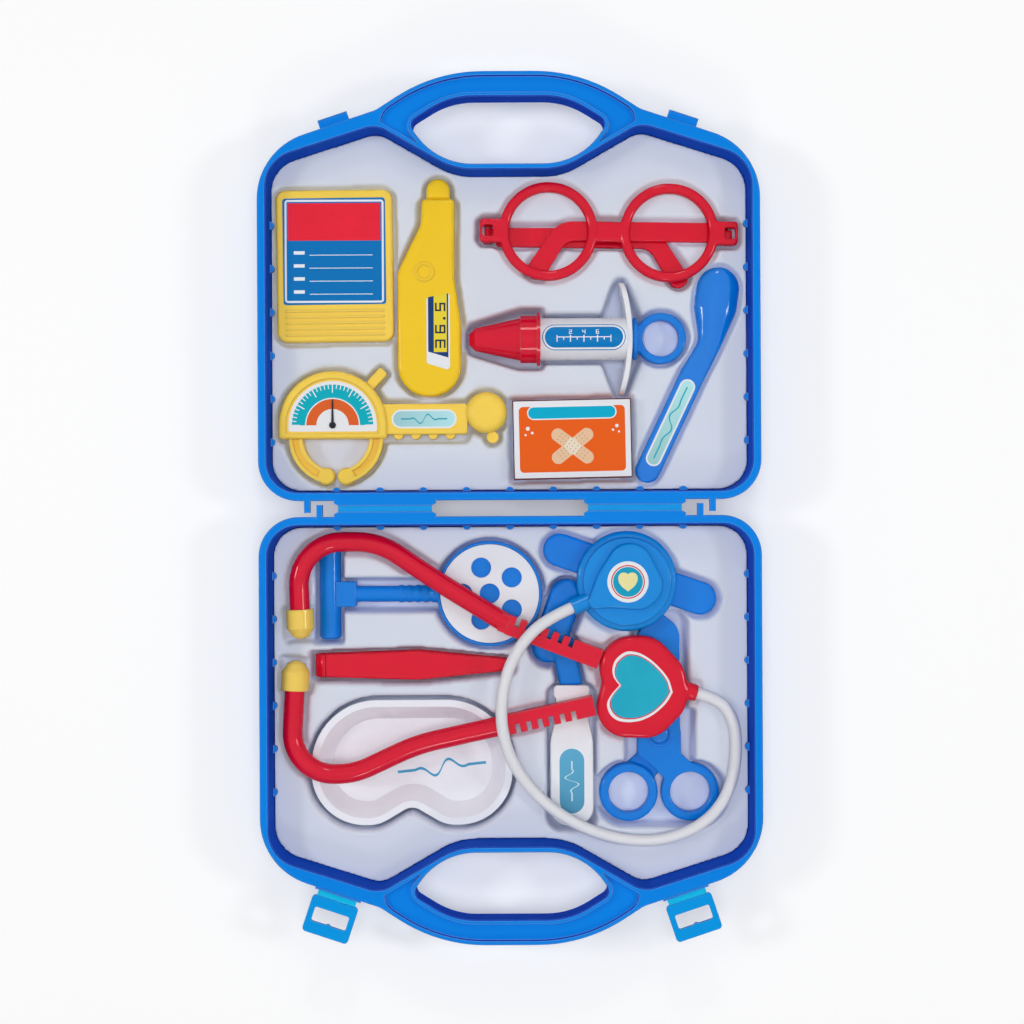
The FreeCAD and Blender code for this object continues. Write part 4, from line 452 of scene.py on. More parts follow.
def drawChest(flow, under):
    look = chestLabel
    x, y = fromMiddle(flow, middleOf("chest_label"))[:2]
    far = x.maths("SQRT", x * x + y * y)
    colour = mixColour(far > look["disc"], paint(look["ground"]), paint(look["white"]))
    colour = mixColour(between(far, *look["line"]), colour, paint(look["ring"]))
    u, v = x / look["heart"], (y + look["drop"]) / look["heart"]
    lobe = u * u + v * v - 1  # a small heart
    return mixColour((lobe * lobe * lobe - u * u * v * v * v) < 0.0, colour, paint(look["mark"]))


carton = {"size": (60.0, 40.0), "angle": 1.0, "border": (3.2, 3.4, 2.2), "headerAt": 13.4,
          "headerBox": (22.0, 2.9, 2.8), "headerEdge": 0.6, "corner": 0.3, "topFrom": 6.6, "topInset": -0.2,
          "outsideInset": -0.55, "edgeShadeFrom": 5.9, "sideBand": 5.0,
          "spots": (((-22.4, 5.6), 1.0), ((-20.2, 3.4), 0.7), ((-23.6, 2.4), 0.55), ((22.6, 6.2), 0.9),
                    ((20.6, 4.2), 0.6), ((23.6, 3.2), 0.5)),
          "crossAt": -3.6, "crossTurn": 38.0, "stripBox": (12.5, 3.3, 3.2), "padBox": (3.6, 3.0, 0.5),
          "holes": (2.0, 1.8, 0.28), "holesReach": (9.6, 2.4), "holeShade": 0.6,
          "panel": (0.800, 0.115, 0.012), "header": (0.004, 0.400, 0.600), "white": (0.80, 0.82, 0.85),
          # fold is a painted shade, the dark colour of the line round the carton's top edge
          "fold": (0.090, 0.018, 0.016), "plaster": (0.780, 0.520, 0.330), "pad": (0.800, 0.700, 0.560)}


def drawCarton(flow, under):
    look = carton
    x, y, z = fromMiddle(flow, middleOf("carton_sleeve"), look["angle"])
    wide, high = look["size"]
    ends, sides, corner = look["border"]
    edge = roundBox(x, y, wide / 2, high / 2, look["corner"])
    panel = roundBox(x, y, wide / 2 - ends, high / 2 - sides, corner)
    colour = mixColour(panel < 0.0, under, paint(look["panel"]))
    header = roundBox(x, y - look["headerAt"], *look["headerBox"])
    colour = mixColour(header < look["headerEdge"], colour, paint(look["white"]))
    colour = mixColour(header < 0.0, colour, paint(look["header"]))
    for spot, radius in look["spots"]:
        dx, dy = x - spot[0], y - spot[1]
        colour = mixColour((dx * dx + dy * dy) < radius * radius, colour, paint(look["white"]))
    rise = y - look["crossAt"]
    stepU, stepV, dot = look["holes"]
    reachU, reachV = look["holesReach"]
    for turn in (look["crossTurn"], -look["crossTurn"]):  # two plain plaster strips laid crosswise
        bend = math.radians(turn)
        u = x * math.cos(bend) + rise * math.sin(bend)
        v = rise * math.cos(bend) - x * math.sin(bend)
        colour = mixColour(roundBox(u, v, *look["stripBox"]) < 0.0, colour, paint(look["plaster"]))
        colour = mixColour(roundBox(u, v, *look["padBox"]) < 0.0, colour, paint(look["pad"]))
        holes = every(u, stepU, dot) * every(v, stepV, dot) * (abs(u) < reachU) * (abs(v) < reachV)
        colour = mixColour(holes, colour, paint(shade(look["plaster"], look["holeShade"])))
    plain = (z < look["topFrom"]) * (edge < look["topInset"])  # the inside and the underside
    colour = mixColour(plain, colour, under)
    outside = edge > look["outsideInset"]
    colour = mixColour(outside * (abs(z) < look["sideBand"]), colour, paint(look["panel"]))
    fold = outside * (z > look["edgeShadeFrom"])  # painted shade: a dark line round the top edge
    return mixColour(fold, colour, paint(look["fold"]))


kidneyPrint = {"middle": (-0.036, -0.134, 0), "angle": 6.0, "wide": 46.0, "rise": 5.5, "thick": 0.7,
               "floor": 2.2, "ink": (0.060, 0.330, 0.560)}


def drawKidney(flow, under):
    look = kidneyPrint
    x, y, z = fromMiddle(flow, look["middle"], look["angle"])
    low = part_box("kidney_dish")[0].z / mm
    trace = pulseLine(x, y, look["wide"], look["rise"], look["thick"]) * (z < low + look["floor"])
    return mixColour(trace, under, paint(look["ink"]))


labelLook = {"colour": (0.40, 0.66, 0.74), "rough": 0.34, "grain": 0.02, "edge": 0.0001, "depth": 0.02}
whiteLook = {"colour": (0.770, 0.785, 0.835), "rough": 0.28, "coat": 0.05, "depth": 0.025}
# worn sets the strength of a painted highlight, a lighter colour along the edges
toolLook = {"rough": 0.26, "coat": 0.45, "shine": 0.0, "grain": 0.04, "worn": 1.0, "edge": 0.0011}
looks = {
    # caseBlue's wall is a painted shade, a darker blue on the inner walls
    "caseBlue": {"colour": (0.001, 0.220, 0.760), "rough": 0.34, "grain": 0.10, "edge": 0.0009, "depth": 0.07,
                 "wall": (0.0004, 0.070, 0.550), "worn": 4.0},
    # worn in caseBlue and here paints the same lighter highlight along the edges
    "strapBlue": {"colour": (0.001, 0.300, 0.760), "rough": 0.34, "grain": 0.08, "worn": 3.0},
    "webCyan": {"colour": (0.003, 0.480, 0.760), "rough": 0.30, "grain": 0.08, "edge": 0.0002},
    # trayPale's deep is a painted shade, the bluer colour of the pockets below the plateau
    "trayPale": {"colour": (0.650, 0.694, 0.788), "rough": 0.22, "grain": 0.04, "depth": 0.02, "edge": 0.0002,
                 "deep": (0.640, 0.690, 0.860), "level": 0.0185},
    "paleYellow": {**toolLook, "colour": (0.900, 0.620, 0.080), "rough": 0.30},
    "deepYellow": {**toolLook, "colour": (0.880, 0.570, 0.012), "rough": 0.30},
    "tipYellow": {**toolLook, "colour": (0.880, 0.610, 0.110), "rough": 0.34},
    "red": {**toolLook, "colour": (0.690, 0.002, 0.024), "rough": 0.24},
    "tubeRed": {**toolLook, "colour": (0.690, 0.002, 0.028), "rough": 0.22, "coat": 0.5},
    "toolBlue": {**toolLook, "colour": (0.001, 0.195, 0.700)},
    "spoonBlue": {**toolLook, "colour": (0.001, 0.195, 0.720), "rough": 0.2, "coat": 0.7},
    "chestBlue": {**toolLook, "colour": (0.001, 0.245, 0.700), "edge": 0.0008},
    "white": whiteLook,
    "dishWhite": {**whiteLook, "colour": (0.800, 0.820, 0.890)},
    "hoseVinyl": {"colour": (0.740, 0.745, 0.780), "rough": 0.38, "depth": 0.03},
    "needleBlack": {"colour": (0.020, 0.022, 0.030), "rough": 0.35},
    "pinSteel": {"colour": (0.560, 0.570, 0.590), "rough": 0.30, "uneven": 0.2, "metal": 1.0},
    "cardPrint": {"colour": (0.780, 0.790, 0.830), "rough": 0.42, "skin": 2600.0, "edge": 0.0002},
    "cardWhite": {"colour": (0.740, 0.740, 0.760), "rough": 0.55, "skin": 2600.0, "grain": 0.12},
    "heartEdge": {**labelLook, "colour": (0.78, 0.80, 0.83)},
    "heartLine": {**labelLook, "colour": (0.640, 0.030, 0.050)},
    "heartFill": {**labelLook, "colour": (0.020, 0.400, 0.560), "cloud": 60.0, "depth": 0.18},
}
drawings = {
    "dishWhite": drawKidney, "cardPrint": drawCarton, "badgePrint": drawBadge,
    "thermometerPrint": drawThermometer, "syringePrint": drawSyringe, "dialPrint": drawDial,
    "gaugePrint": drawSmall("gauge_label"), "spoonPrint": drawSmall("spoon_label"),
    "scopePrint": drawSmall("scope_label"), "chestPrint": drawChest,
}
finishes = {name: moulded(name, looks.get(name, labelLook), drawings.get(name))
            for name in {**looks, **drawings}}

wearing = {
    "caseBlue": ["lower_case", "upper_case"],
    "strapBlue": ["hinge_webs", "latch_left", "latch_right"],
    "webCyan": ["latch_web_left", "latch_web_right"],
    "trayPale": ["lower_tray", "upper_tray"],
    "paleYellow": ["badge_plate", "gauge_body"],
    "deepYellow": ["thermometer_body", "thermometer_tip"],
    "tipYellow": ["ear_tip_upper", "ear_tip_lower"],
    "red": ["glasses_front", "temple_left", "temple_right", "heart_body", "tweezers_lower_arm",
            "tweezers_upper_arm", "tweezers_bend"],
    "tubeRed": ["syringe_nozzle", "ear_tube_upper", "ear_tube_lower"],
    "toolBlue": ["syringe_plunger", "hammer_head", "hammer_handle", "scissors_lower_lever",
                 "scissors_upper_lever", "scissors_rivet", "scope_head", "tongue_depressor"],
    "spoonBlue": ["spoon"],
    "chestBlue": ["chest_body", "chest_cap"],
    "white": ["syringe_barrel", "hammer_face", "scope_handle"],
    "dishWhite": ["kidney_dish"],
    "needleBlack": ["gauge_needle"],
    "pinSteel": ["glasses_pins"],
    "cardPrint": ["carton_sleeve"], "cardWhite": ["carton_flaps"],
    "badgePrint": ["badge_label"], "thermometerPrint": ["thermometer_label"],
    "syringePrint": ["syringe_label"], "dialPrint": ["gauge_dial"], "gaugePrint": ["gauge_label"],
    "spoonPrint": ["spoon_label"], "scopePrint": ["scope_label"], "chestPrint": ["chest_label"],
    "heartFill": ["heart_label"],
}


def wear(thing, *worn):
    thing.data.materials.clear()
    for finish in worn:
        thing.data.materials.append(finish)


for finishName, names in wearing.items():
    for name in names:
        wear(nodes[name], finishes[finishName])
wear(hoseTube, finishes["hoseVinyl"])
print("finishes given to", sum(len(names) for names in wearing.values()), "nodes")


def meshOf(shell, name):
    mesh = bpy.data.meshes.new(name)
    shell.to_mesh(mesh)
    shell.free()
    return mesh


def skinLoops(shell, loops):  # walls between rings of points, and a cap at each end
    for before, after in zip(loops, loops[1:]):
        for k in range(len(before)):
            step = (k + 1) % len(before)
            shell.faces.new((before[k], before[step], after[step], after[k]))
    shell.faces.new(loops[0])
    shell.faces.new(list(reversed(loops[-1])))


def treeOf(nodeName):  # for finding where a line meets a node
    source = nodes[nodeName].data
    return BVHTree.FromPolygons([v.co for v in source.vertices], [list(p.vertices) for p in source.polygons])


def newPiece(name, mesh, body, replaced, finish):  # a piece with no body is not attached to any body
    piece = bpy.data.objects.new(name, mesh)
    scene.collection.objects.link(piece)
    if body:
        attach(piece, body)
    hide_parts(*replaced)
    wear(piece, finish)
    for face in mesh.polygons:
        face.use_smooth = True
    return piece


# the trays are thin sheets drawn down over the tools, so their edges are soft
tray = {"step": 0.001, "spare": 2, "above": 0.02, "soften": 0.6, "reach": 3, "edge": 0.1, "weld": 0.05,
        "sheet": 0.0007, "lip": 0.003, "channel": 0.0143}


def slide(field, across, down, fill):  # the field moved by whole cells
    moved = np.full_like(field, fill)
    high, wide = field.shape
    moved[max(down, 0):high + min(down, 0), max(across, 0):wide + min(across, 0)] = \
        field[max(-down, 0):high + min(-down, 0), max(-across, 0):wide + min(-across, 0)]
    return moved


def besideAndHere(field, fill, choose):  # the field joined with its four neighbours
    joined = field
    for across, down in ((1, 0), (-1, 0), (0, 1), (0, -1)):
        joined = choose(joined, slide(field, across, down, fill))
    return joined


def fourMean(field):  # each two by two cells as one
    return (field[::2, ::2] + field[1::2, ::2] + field[::2, 1::2] + field[1::2, 1::2]) / 4


def formTray(name, nodeName, body):
    tree = treeOf(nodeName)
    low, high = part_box(nodeName)
    step, spare, top = tray["step"], tray["spare"], high.z
    counts = [2 * (int((high[k] - low[k]) / step) + 2 * spare + 1) for k in (0, 1)]
    fineX, fineY = [low[k] - spare * step + (np.arange(counts[k]) + 0.5) * step / 2 for k in (0, 1)]
    level = np.full((len(fineY), len(fineX)), np.nan)
    for row, y in enumerate(fineY):
        for column, x in enumerate(fineX):
            hit = tree.ray_cast(Vector((x, y, top + tray["above"])), Vector((0, 0, -1)))[0]
            if hit:
                level[row, column] = hit.z
    met = ~np.isnan(level)
    outside = np.zeros_like(met)
    outside[0, :] = outside[-1, :] = outside[:, 0] = outside[:, -1] = True
    while True:  # what is open to the edge lies past the sheet, the rest are channels under the tubes
        grown = besideAndHere(outside, False, np.logical_or) & ~met
        if (grown == outside).all():
            break
        outside = grown
    level[~met & ~outside] = tray["channel"]
    drawn = besideAndHere(np.where(outside, top, level), top, np.minimum)
    soft = fourMean(drawn)
    inside = fourMean(outside.astype(float)) < tray["edge"]
    xs, ys = (fineX[::2] + fineX[1::2]) / 2, (fineY[::2] + fineY[1::2]) / 2
    around = range(-tray["reach"], tray["reach"] + 1)
    spread = [math.exp(-0.5 * (k / tray["soften"]) ** 2) for k in around]
    spread = [part / sum(spread) for part in spread]
    soft = sum(part * slide(soft, k, 0, top) for k, part in zip(around, spread))
    soft = sum(part * slide(soft, 0, k, top) for k, part in zip(around, spread))
    ring = inside.copy()
    for down in (-1, 0, 1):
        for across in (-1, 0, 1):
            ring |= slide(inside, across, down, False)
    shell = bmesh.new()
    spots = {}
    for row, y in enumerate(ys):
        for column, x in enumerate(xs):
            if inside[row, column]:
                spots[row, column] = shell.verts.new((x, y, soft[row, column]))
            elif ring[row, column]:  # the outermost points lie on the sheet's own outline
                near = [soft[r, c] for r in range(row - 1, row + 2) for c in range(column - 1, column + 2)
                        if 0 <= r < len(ys) and 0 <= c < len(xs) and inside[r, c]]
                rim = tree.find_nearest(Vector((x, y, top)))[0]
                spots[row, column] = shell.verts.new((rim.x, rim.y, sum(near) / len(near)))
    for row in range(len(ys) - 1):
        for column in range(len(xs) - 1):
            corners = [(row, column), (row, column + 1), (row + 1, column + 1), (row + 1, column)]
            if all(corner in spots for corner in corners) and any(inside[corner] for corner in corners):
                shell.faces.new([spots[corner] for corner in corners])
    bmesh.ops.remove_doubles(shell, verts=shell.verts[:], dist=step * tray["weld"])
    bmesh.ops.delete(shell, geom=[v for v in shell.verts if not v.link_faces], context="VERTS")
    edge = [line for line in shell.edges if line.is_boundary]
    grown = bmesh.ops.extrude_edge_only(shell, edges=edge)["geom"]
    lip = [part for part in grown if isinstance(part, bmesh.types.BMVert)]
    bmesh.ops.translate(shell, vec=(0, 0, -tray["lip"]), verts=lip)
    bmesh.ops.recalc_face_normals(shell, faces=shell.faces[:])
    if sum(face.normal.z for face in shell.faces) < 0:
        bmesh.ops.reverse_faces(shell, faces=shell.faces[:])
    piece = newPiece(name, meshOf(shell, name), body, [nodeName], finishes["trayPale"])
    thick = piece.modifiers.new("sheet", "SOLIDIFY")
    thick.thickness = tray["sheet"]
    thick.offset = -1
    return piece


upperSheet = formTray("upperTraySheet", "upper_tray", "upper_half")
lowerSheet = formTray("lowerTraySheet", "lower_tray", "lower_half")
print("trays drawn with", len(upperSheet.data.polygons) + len(lowerSheet.data.polygons), "faces")

# thin bending webs: a strip from one held edge to the other, cut into many steps along its length
web = {"cuts": 16, "thin": 0.55, "waist": 4, "sharp": 40,
       "section": ((-0.5, 0), (-0.5, 1), (-0.25, 1), (0, 1), (0.25, 1), (0.5, 1), (0.5, 0), (0, 0))}


def bendStrip(shell, start, end, side, upward, width, edgeThick, midThick):
    cuts = web["cuts"]
    loops = []
    for k in range(cuts + 1):
        share = k / cuts
        thick = midThick + (edgeThick - midThick) * (2 * share - 1) ** web["waist"]  # thinner at the bend
        spot = start.lerp(end, share)
        ring = []
        for across, up in web["section"]:
            ring.append(shell.verts.new(spot + side * (width * across) + upward * (thick * (up - 0.5))))
        loops.append(ring)
    skinLoops(shell, loops)


def webPiece(name, strips, replaced, finish):
    shell = bmesh.new()
    for strip in strips:
        bendStrip(shell, *strip)
    bmesh.ops.recalc_face_normals(shell, faces=shell.faces[:])
    piece = newPiece(name, meshOf(shell, name), None, [replaced], finish)
    piece.data.set_sharp_from_angle(angle=math.radians(web["sharp"]))
    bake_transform(piece)


def hingeWebs():
    low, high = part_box("hinge_webs")
    inner = min(abs(v.co.x) for v in nodes["hinge_webs"].data.vertices)
    thick = high.z - low.z
    level = (high.z + low.z) / 2
    strips = []
    for hand in (-1, 1):
        middle = hand * (inner + high.x) / 2
        strips.append((Vector((middle, low.y, level)), Vector((middle, high.y, level)), Vector((1, 0, 0)),
                       Vector((0, 0, 1)), high.x - inner, thick, thick * web["thin"]))
    webPiece("hingeWebStrips", strips,
             "hinge_webs", finishes["strapBlue"])


def latchWeb(hand):
    row = next(row for row in frame["joints"] if row["name"] == "latch_" + hand + "_hinge")
    node = "latch_web_" + hand
    low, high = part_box(node)
    axis, spot = Vector(row["axis"]), Vector(row["pos_m"])
    spot.z = (low.z + high.z) / 2
    out = axis.cross(Vector((0, 0, 1)))
    out *= -1 if out.y > 0 else 1
    reach = [(Vector(v.co) - spot).dot(out) for v in nodes[node].data.vertices]
    wide = [(Vector(v.co) - spot).dot(axis) for v in nodes[node].data.vertices]
    start, end = spot + out * min(reach), spot + out * max(reach)
    thick = high.z - low.z
    strip = (start, end, axis, Vector((0, 0, 1)), max(wide) - min(wide), thick, thick * web["thin"])
    webPiece("latchWeb" + hand.capitalize(), [strip], node,
             finishes["webCyan"])


hingeWebs()
latchWeb("left")
latchWeb("right")
print("hinge and latch webs made")

# the tweezers' arms join in one springy half ring
bend = {"cuts": 20, "edge": 0.0005, "sharp": 50}


def tweezersBend():
    low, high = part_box("tweezers_bend")
    outer, middle = (high.z - low.z) / 2, (high.z + low.z) / 2
    armLow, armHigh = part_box("tweezers_upper_arm")
    inner = outer - (armHigh.z - armLow.z)
    half, soft = (high.y - low.y) / 2, bend["edge"]
    side = (high.y + low.y) / 2
    section = [(outer, half - soft), (outer - soft, half), (inner + soft, half), (inner, half - soft),
               (inner, soft - half), (inner + soft, -half), (outer - soft, -half), (outer, soft - half)]
    shell = bmesh.new()
    loops = []
    for k in range(bend["cuts"] + 1):
        turn = math.pi * (1.5 - k / bend["cuts"])
        along, up = math.cos(turn), math.sin(turn)
        loops.append([shell.verts.new((high.x + far * along, side + y, middle + far * up))
                      for far, y in section])
    skinLoops(shell, loops)
    bmesh.ops.recalc_face_normals(shell, faces=shell.faces[:])
    mesh = meshOf(shell, "tweezersSpring")
    piece = newPiece("tweezersSpring", mesh, None, ["tweezers_bend"], finishes["red"])
    mesh.set_sharp_from_angle(angle=math.radians(bend["sharp"]))
    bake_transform(piece)


tweezersBend()
print("tweezers spring made")

# the spoon lies face down, so the back of its bowl stands up as a dome, lengths in mm
spoon = {"handle": (81.65, 42.88, 64.5), "bowl": (105.59, 104.70, 82.0), "turn": 14.0, "bends": 24,
         "past": (40, 25), "crown": 7.6, "rim": 2.0, "thick": 5.0, "edge": 1.6, "rise": (4, 26),
         "probe": 0.6, "aside": 30.0, "search": 0.05, "skip": 20, "stations": 90, "across": 22, "sharp": 50}


def spoonLine():  # the middle line from past the handle's end to past the bowl's
    ends = []
    for x, y, angle in (spoon["handle"], spoon["bowl"]):
        turn = math.radians(angle)
        ends.append((Vector((x, y)), Vector((math.cos(turn), math.sin(turn)))))
    (handle, along), (bowl, up) = ends
    gap = bowl - handle
    reach = (gap.x * up.y - gap.y * up.x) / (along.x * up.y - along.y * up.x)
    elbow = handle + along * reach
    first, last = elbow - along * spoon["turn"], elbow + up * spoon["turn"]
    line = [handle - along * spoon["past"][0], first]
    for k in range(1, spoon["bends"]):
        share = k / spoon["bends"]
        line.append(first.lerp(elbow, share).lerp(elbow.lerp(last, share), share))
    return line + [last, bowl + up * spoon["past"][1]]


def spoonBack():
    tree = treeOf("spoon")
    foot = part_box("spoon")[0].z
    line = spoonLine()
    runs = [(after - before).length for before, after in zip(line, line[1:])]

    def walk(far):  # a point on the line and the line's direction there
        for before, after, run in zip(line, line[1:], runs):
            if far <= run:
                break
            far -= run
        return before.lerp(after, far / run), (after - before).normalized()

    def reachOf(far):  # how far the outline lies to either side
        spot, along = walk(far)
        side = Vector((-along.y, along.x, 0))
        found = []
        for hand in (1, -1):
            start = (Vector((*spot, 0)) + side * (hand * spoon["aside"])) * mm
            start.z = foot + spoon["probe"] * mm
            hit = tree.ray_cast(start, side * -hand, spoon["aside"] * mm)[0]
            found.append(None if hit is None else (Vector((hit.x, hit.y)) / mm - spot).dot(side.xy))
        return spot, side.xy, found

    ends = [far for far in np.arange(0, sum(runs), spoon["search"]) if None not in reachOf(far)[2]]
    widest = max(reachOf(far)[2][0] - reachOf(far)[2][1] for far in ends[::spoon["skip"]]) / 2
    shell = bmesh.new()
    loops = []
    for k in range(spoon["stations"] + 1):
        share = (1 - math.cos(math.pi * k / spoon["stations"])) / 2
        far = ends[0] + (ends[-1] - ends[0]) * share
        spot, side, (left, right) = reachOf(far)
        half = (left - right) / 2
        middle = spot + side * ((left + right) / 2)
        before, span = spoon["rise"]  # the dome grows from just before the handle bends
        dome = min(max((far - runs[0] + before) / span, 0), 1)
        dome = dome * dome * (3 - 2 * dome)
        crown = spoon["rim"] + (spoon["crown"] - spoon["rim"]) * math.sqrt(min(half / widest, 1))
        soft = min(spoon["edge"], half)
        ring = [shell.verts.new((*((middle + side * half) * mm), foot))]
        for j in range(spoon["across"] + 1):
            turn = math.pi * j / spoon["across"]
            across = half * math.cos(turn)
            inset = min(half - abs(across), soft)
            flat = spoon["thick"] - soft + math.sqrt(max(soft * soft - (soft - inset) ** 2, 0))
            bulge = spoon["rim"] + (crown - spoon["rim"]) * math.sin(turn)
            level = foot + (flat + (bulge - flat) * dome) * mm
            ring.append(shell.verts.new((*((middle + side * across) * mm), level)))
        ring.append(shell.verts.new((*((middle - side * half) * mm), foot)))
        loops.append(ring)
    skinLoops(shell, loops)
    bmesh.ops.recalc_face_normals(shell, faces=shell.faces[:])
    mesh = meshOf(shell, "spoonBack")
    newPiece("spoonBack", mesh, "spoon", ["spoon"], finishes["spoonBlue"])
    mesh.set_sharp_from_angle(angle=math.radians(spoon["sharp"]))


spoonBack()
print("spoon made")

# these tools have full, round edges: a fine skin is drawn over each solid and eased in so many rounds
eased = {"step": 0.0005, "pull": 0.5, "rounds": {
    "red": {"glasses_front": 9, "temple_left": 7, "temple_right": 7, "heart_body": 30,
            "tweezers_upper_arm": 7, "tweezers_lower_arm": 7},
    "tool_blue": {"scissors_lower_lever": 18, "scissors_upper_lever": 18, "hammer_handle": 2,
                  "scope_head": 16, "tongue_depressor": 14, "syringe_plunger": 8}}}


def easeTool(nodeName, rounds):
    first, *rest = nodeName.split("_")
    name = first + "".join(word.capitalize() for word in rest) + "Eased"
    rough = bpy.data.objects.new(name, nodes[nodeName].data.copy())
    scene.collection.objects.link(rough)
    skin = rough.modifiers.new("skin", "REMESH")
    skin.mode, skin.voxel_size = "VOXEL", eased["step"]
    ease = rough.modifiers.new("ease", "SMOOTH")
    ease.factor, ease.iterations = eased["pull"], rounds
    worked = rough.evaluated_get(bpy.context.evaluated_depsgraph_get())
    mesh = bpy.data.meshes.new_from_object(worked)
    bpy.data.objects.remove(rough)
    bodies = frame["record"]["behaviour"]["bodies"]
    body = next(body for body, carried in bodies.items() if nodeName in carried)
    newPiece(name, mesh, body, [nodeName], nodes[nodeName].active_material)


for slot, tools in eased["rounds"].items():
    for nodeName, rounds in tools.items():
        easeTool(nodeName, rounds)
print("tools eased")

# the scissors turn on a domed rivet in a raised ring: shares of the solid's radius, and heights in mm
rivet = {"around": 64, "sharp": 50, "profile": [
    (1.0, 12.9), (0.985, 13.5), (0.95, 13.85), (0.90, 13.95), (0.84, 13.8), (0.79, 13.35), (0.75, 13.2),
    (0.72, 13.35), (0.69, 13.8), (0.62, 14.25), (0.52, 14.55), (0.40, 14.75), (0.27, 14.86), (0.14, 14.9),
    (0.03, 14.9)]}


def rivetDome():
    low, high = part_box("scissors_rivet")
    centre, radius = (low + high) / 2, (high.x - low.x) / 2
    turns = [2 * math.pi * k / rivet["around"] for k in range(rivet["around"])]
    shell = bmesh.new()
    loops = []
    for share, level in rivet["profile"]:
        loops.append([shell.verts.new((centre.x + radius * share * math.cos(turn),
                                       centre.y + radius * share * math.sin(turn), level * mm))
                      for turn in turns])
    skinLoops(shell, loops)
    bmesh.ops.recalc_face_normals(shell, faces=shell.faces[:])
    mesh = meshOf(shell, "rivetDome")
    newPiece("rivetDome", mesh, "scissors", ["scissors_rivet"], finishes["spoonBlue"])
    mesh.set_sharp_from_angle(angle=math.radians(rivet["sharp"]))


rivetDome()
print("rivet made")

# the heart's label has a pale edge and a thin line inside it, points in mm from the heart's middle
heart = {
    "middle": (65.4, -90.6), "reach": 16.5, "edge": 1.3, "line": 0.55, "cuts": 6,
    "above": [(-10.6, 0.8), (-13.4, 4.8), (-14.1, 8.9), (-12.6, 13.5), (-8.5, 17.1), (-4.4, 17.9),
              (1.2, 16.3), (7.8, 11.5), (13.9, 4.3), (16.3, -2.8)],
    "below": [(16.3, -2.8), (13.6, -7.4), (9.6, -11.6), (5.0, -14.9), (-0.6, -17.2), (-7.0, -17.8),
              (-12.3, -16.6), (-15.8, -13.2), (-16.9, -8.4), (-14.6, -3.8), (-10.6, 0.8)],
}


def smoothLine(points, cuts):  # a flowing line through points, sharp only at its two ends
    spots = [Vector(point) for point in points]
    spots = [2 * spots[0] - spots[1]] + spots + [2 * spots[-1] - spots[-2]]
    line = []
    for before, here, after, later in zip(spots, spots[1:], spots[2:], spots[3:]):
        for k in range(cuts):
            t = k / cuts
            pull = 2 * before - 5 * here + 4 * after - later
            swing = 3 * here - before - 3 * after + later
            line.append(0.5 * (2 * here + (after - before) * t + pull * t * t + swing * t ** 3))
    return line


def heartLabel():
    low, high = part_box("heart_label")
    outline = smoothLine(heart["above"], heart["cuts"]) + smoothLine(heart["below"], heart["cuts"])
    outline.reverse()  # counter-clockwise from above
    centre = Vector(heart["middle"])
    shell = bmesh.new()

    def inset(depth, level):
        spots = [(centre + far * (1 - depth / heart["reach"])) * mm for far in outline]
        return [shell.verts.new((*spot, level)) for spot in spots]

    rings = [inset(0, low.z), inset(0, high.z), inset(heart["edge"], high.z),
             inset(heart["edge"] + heart["line"], high.z)]
    skinLoops(shell, rings)
    bmesh.ops.recalc_face_normals(shell, faces=shell.faces[:])
    around = len(outline)
    indices = [0] * (2 * around) + [1] * around + [0, 2]  # wall and edge, line, underside, fill
    mesh = meshOf(shell, "heartSticker")
    piece = newPiece("heartSticker", mesh, "stethoscope", ["heart_label"], finishes["heartEdge"])
    wear(piece, finishes["heartEdge"], finishes["heartLine"], finishes["heartFill"])
    for face, index in zip(mesh.polygons, indices):
        face.material_index = index
        face.use_smooth = False


heartLabel()
print("heart label made")

# a pale floor, four soft lamps round the case and a broad one above it that leaves no glare
# a lamp is its place, its width, its power and whether glossy surfaces show it
stage = {"size": 30.0, "drop": 0.0004, "plain": (0.34, 0.80), "grey": 0.80, "lift": 0.22, "sky": 0.27,
         "lamps": [((-1.15, 0.15, 1.05), 0.28, 4.0, True), ((1.15, 0.0, 1.05), 0.28, 3.5, True),
                   ((0.0, 1.3, 1.1), 0.28, 2.2, True), ((0.1, -1.3, 1.1), 0.28, 2.2, True),
                   ((0.0, 0.0, 1.7), 0.9, 11.5, False)]}


def emptyFlow(thing):  # the bare shader tree of a material or world
    thing.use_nodes = True
    thing.node_tree.nodes.clear()
    return Flow(thing.node_tree)


def looking(flow):  # 1 where the camera, a reflection or a clear surface sees it
    rays = flow.node("ShaderNodeLightPath", output="Is Camera Ray")
    return rays | rays.other("Is Glossy Ray") | rays.other("Is Transmission Ray")


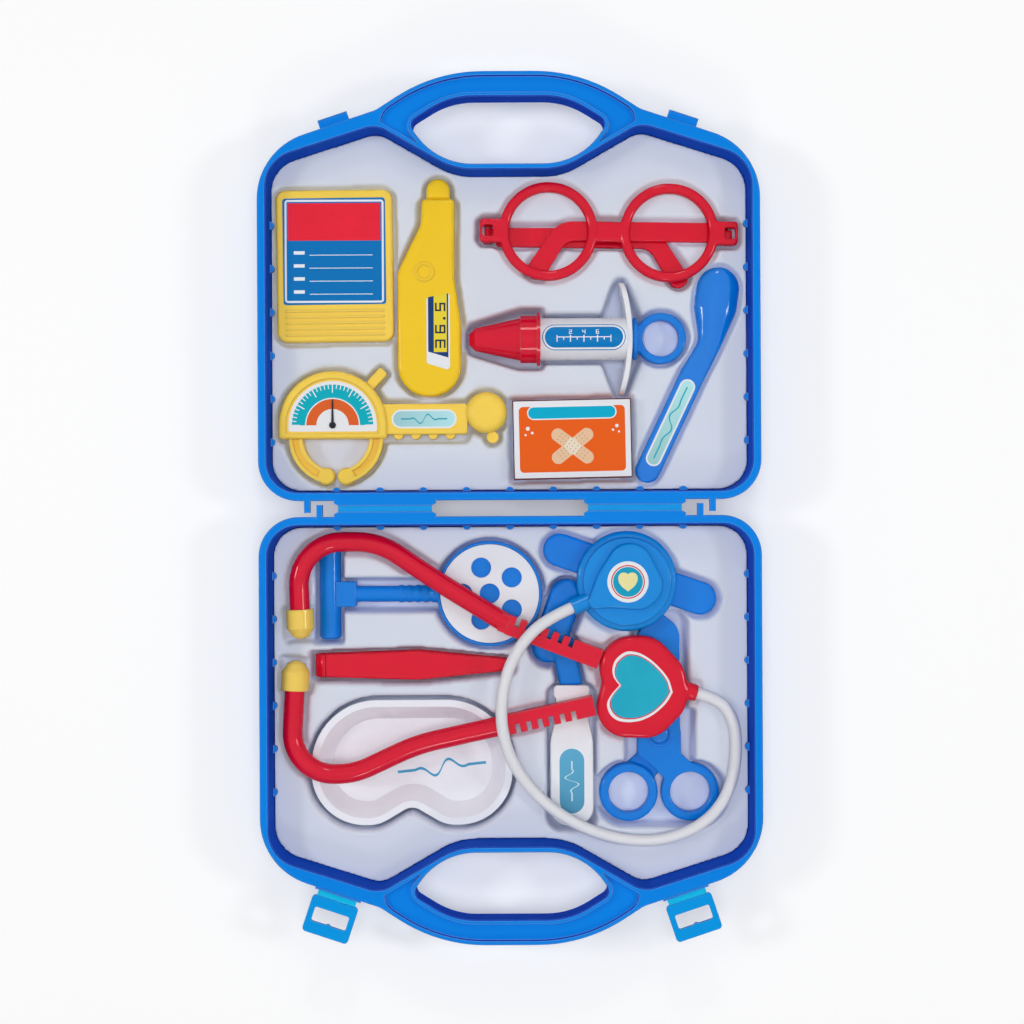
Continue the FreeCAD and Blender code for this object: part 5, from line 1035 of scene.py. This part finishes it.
def layFloor():
    shell = bmesh.new()
    bmesh.ops.create_grid(shell, x_segments=1, y_segments=1, size=stage["size"] / 2)
    floor = bpy.data.objects.new("floor", meshOf(shell, "floor"))
    floor.location.z = -stage["drop"]
    scene.collection.objects.link(floor)
    pale = bpy.data.materials.new("paleFloor")
    flow = emptyFlow(pale)
    matt = flow.node("ShaderNodeBsdfDiffuse", feeds={"Color": paint((stage["grey"],) * 3)})
    glow = flow.node("ShaderNodeEmission", feeds={"Strength": stage["lift"]})
    both = flow.node("ShaderNodeAddShader", feeds={0: matt, 1: glow})
    white = flow.node("ShaderNodeEmission", feeds={"Strength": 1.0})
    spot = flow.node("ShaderNodeTexCoord", output="Object")
    place = flow.node("ShaderNodeSeparateXYZ", feeds={"Vector": spot})
    far = flow.maths("SQRT", place * place + place.other(1) * place.other(1))
    near, beyond = stage["plain"]  # past the shadow the floor runs out into plain white
    fade = clamped((far - near) / (beyond - near))
    spread = flow.node("ShaderNodeMixShader", feeds={0: fade, 1: both, 2: white})
    mixed = flow.node("ShaderNodeMixShader", feeds={0: looking(flow), 1: matt, 2: spread})
    flow.node("ShaderNodeOutputMaterial", feeds={"Surface": mixed})
    wear(floor, pale)


def setLights():
    for number, (spot, size, power, glare) in enumerate(stage["lamps"]):
        lamp = bpy.data.lights.new("lamp" + str(number), "AREA")
        lamp.shape = "DISK"
        lamp.size = size
        lamp.energy = power
        holder = bpy.data.objects.new("lamp" + str(number), lamp)
        holder.location = spot
        holder.visible_glossy = glare
        holder.rotation_euler = (-Vector(spot)).to_track_quat("-Z", "Y").to_euler()  # towards the middle
        scene.collection.objects.link(holder)
    sky = bpy.data.worlds.new("sky")
    scene.world = sky
    flow = emptyFlow(sky)
    dim = flow.node("ShaderNodeBackground", feeds={"Color": (1, 1, 1, 1), "Strength": stage["sky"]})
    full = flow.node("ShaderNodeBackground", feeds={"Color": (1, 1, 1, 1), "Strength": 1.0})
    mixed = flow.node("ShaderNodeMixShader", feeds={0: looking(flow), 1: dim, 2: full})
    flow.node("ShaderNodeOutputWorld", feeds={"Surface": mixed})


layFloor()
setLights()
print("floor and lamps set")

bpy.context.view_layer.update()
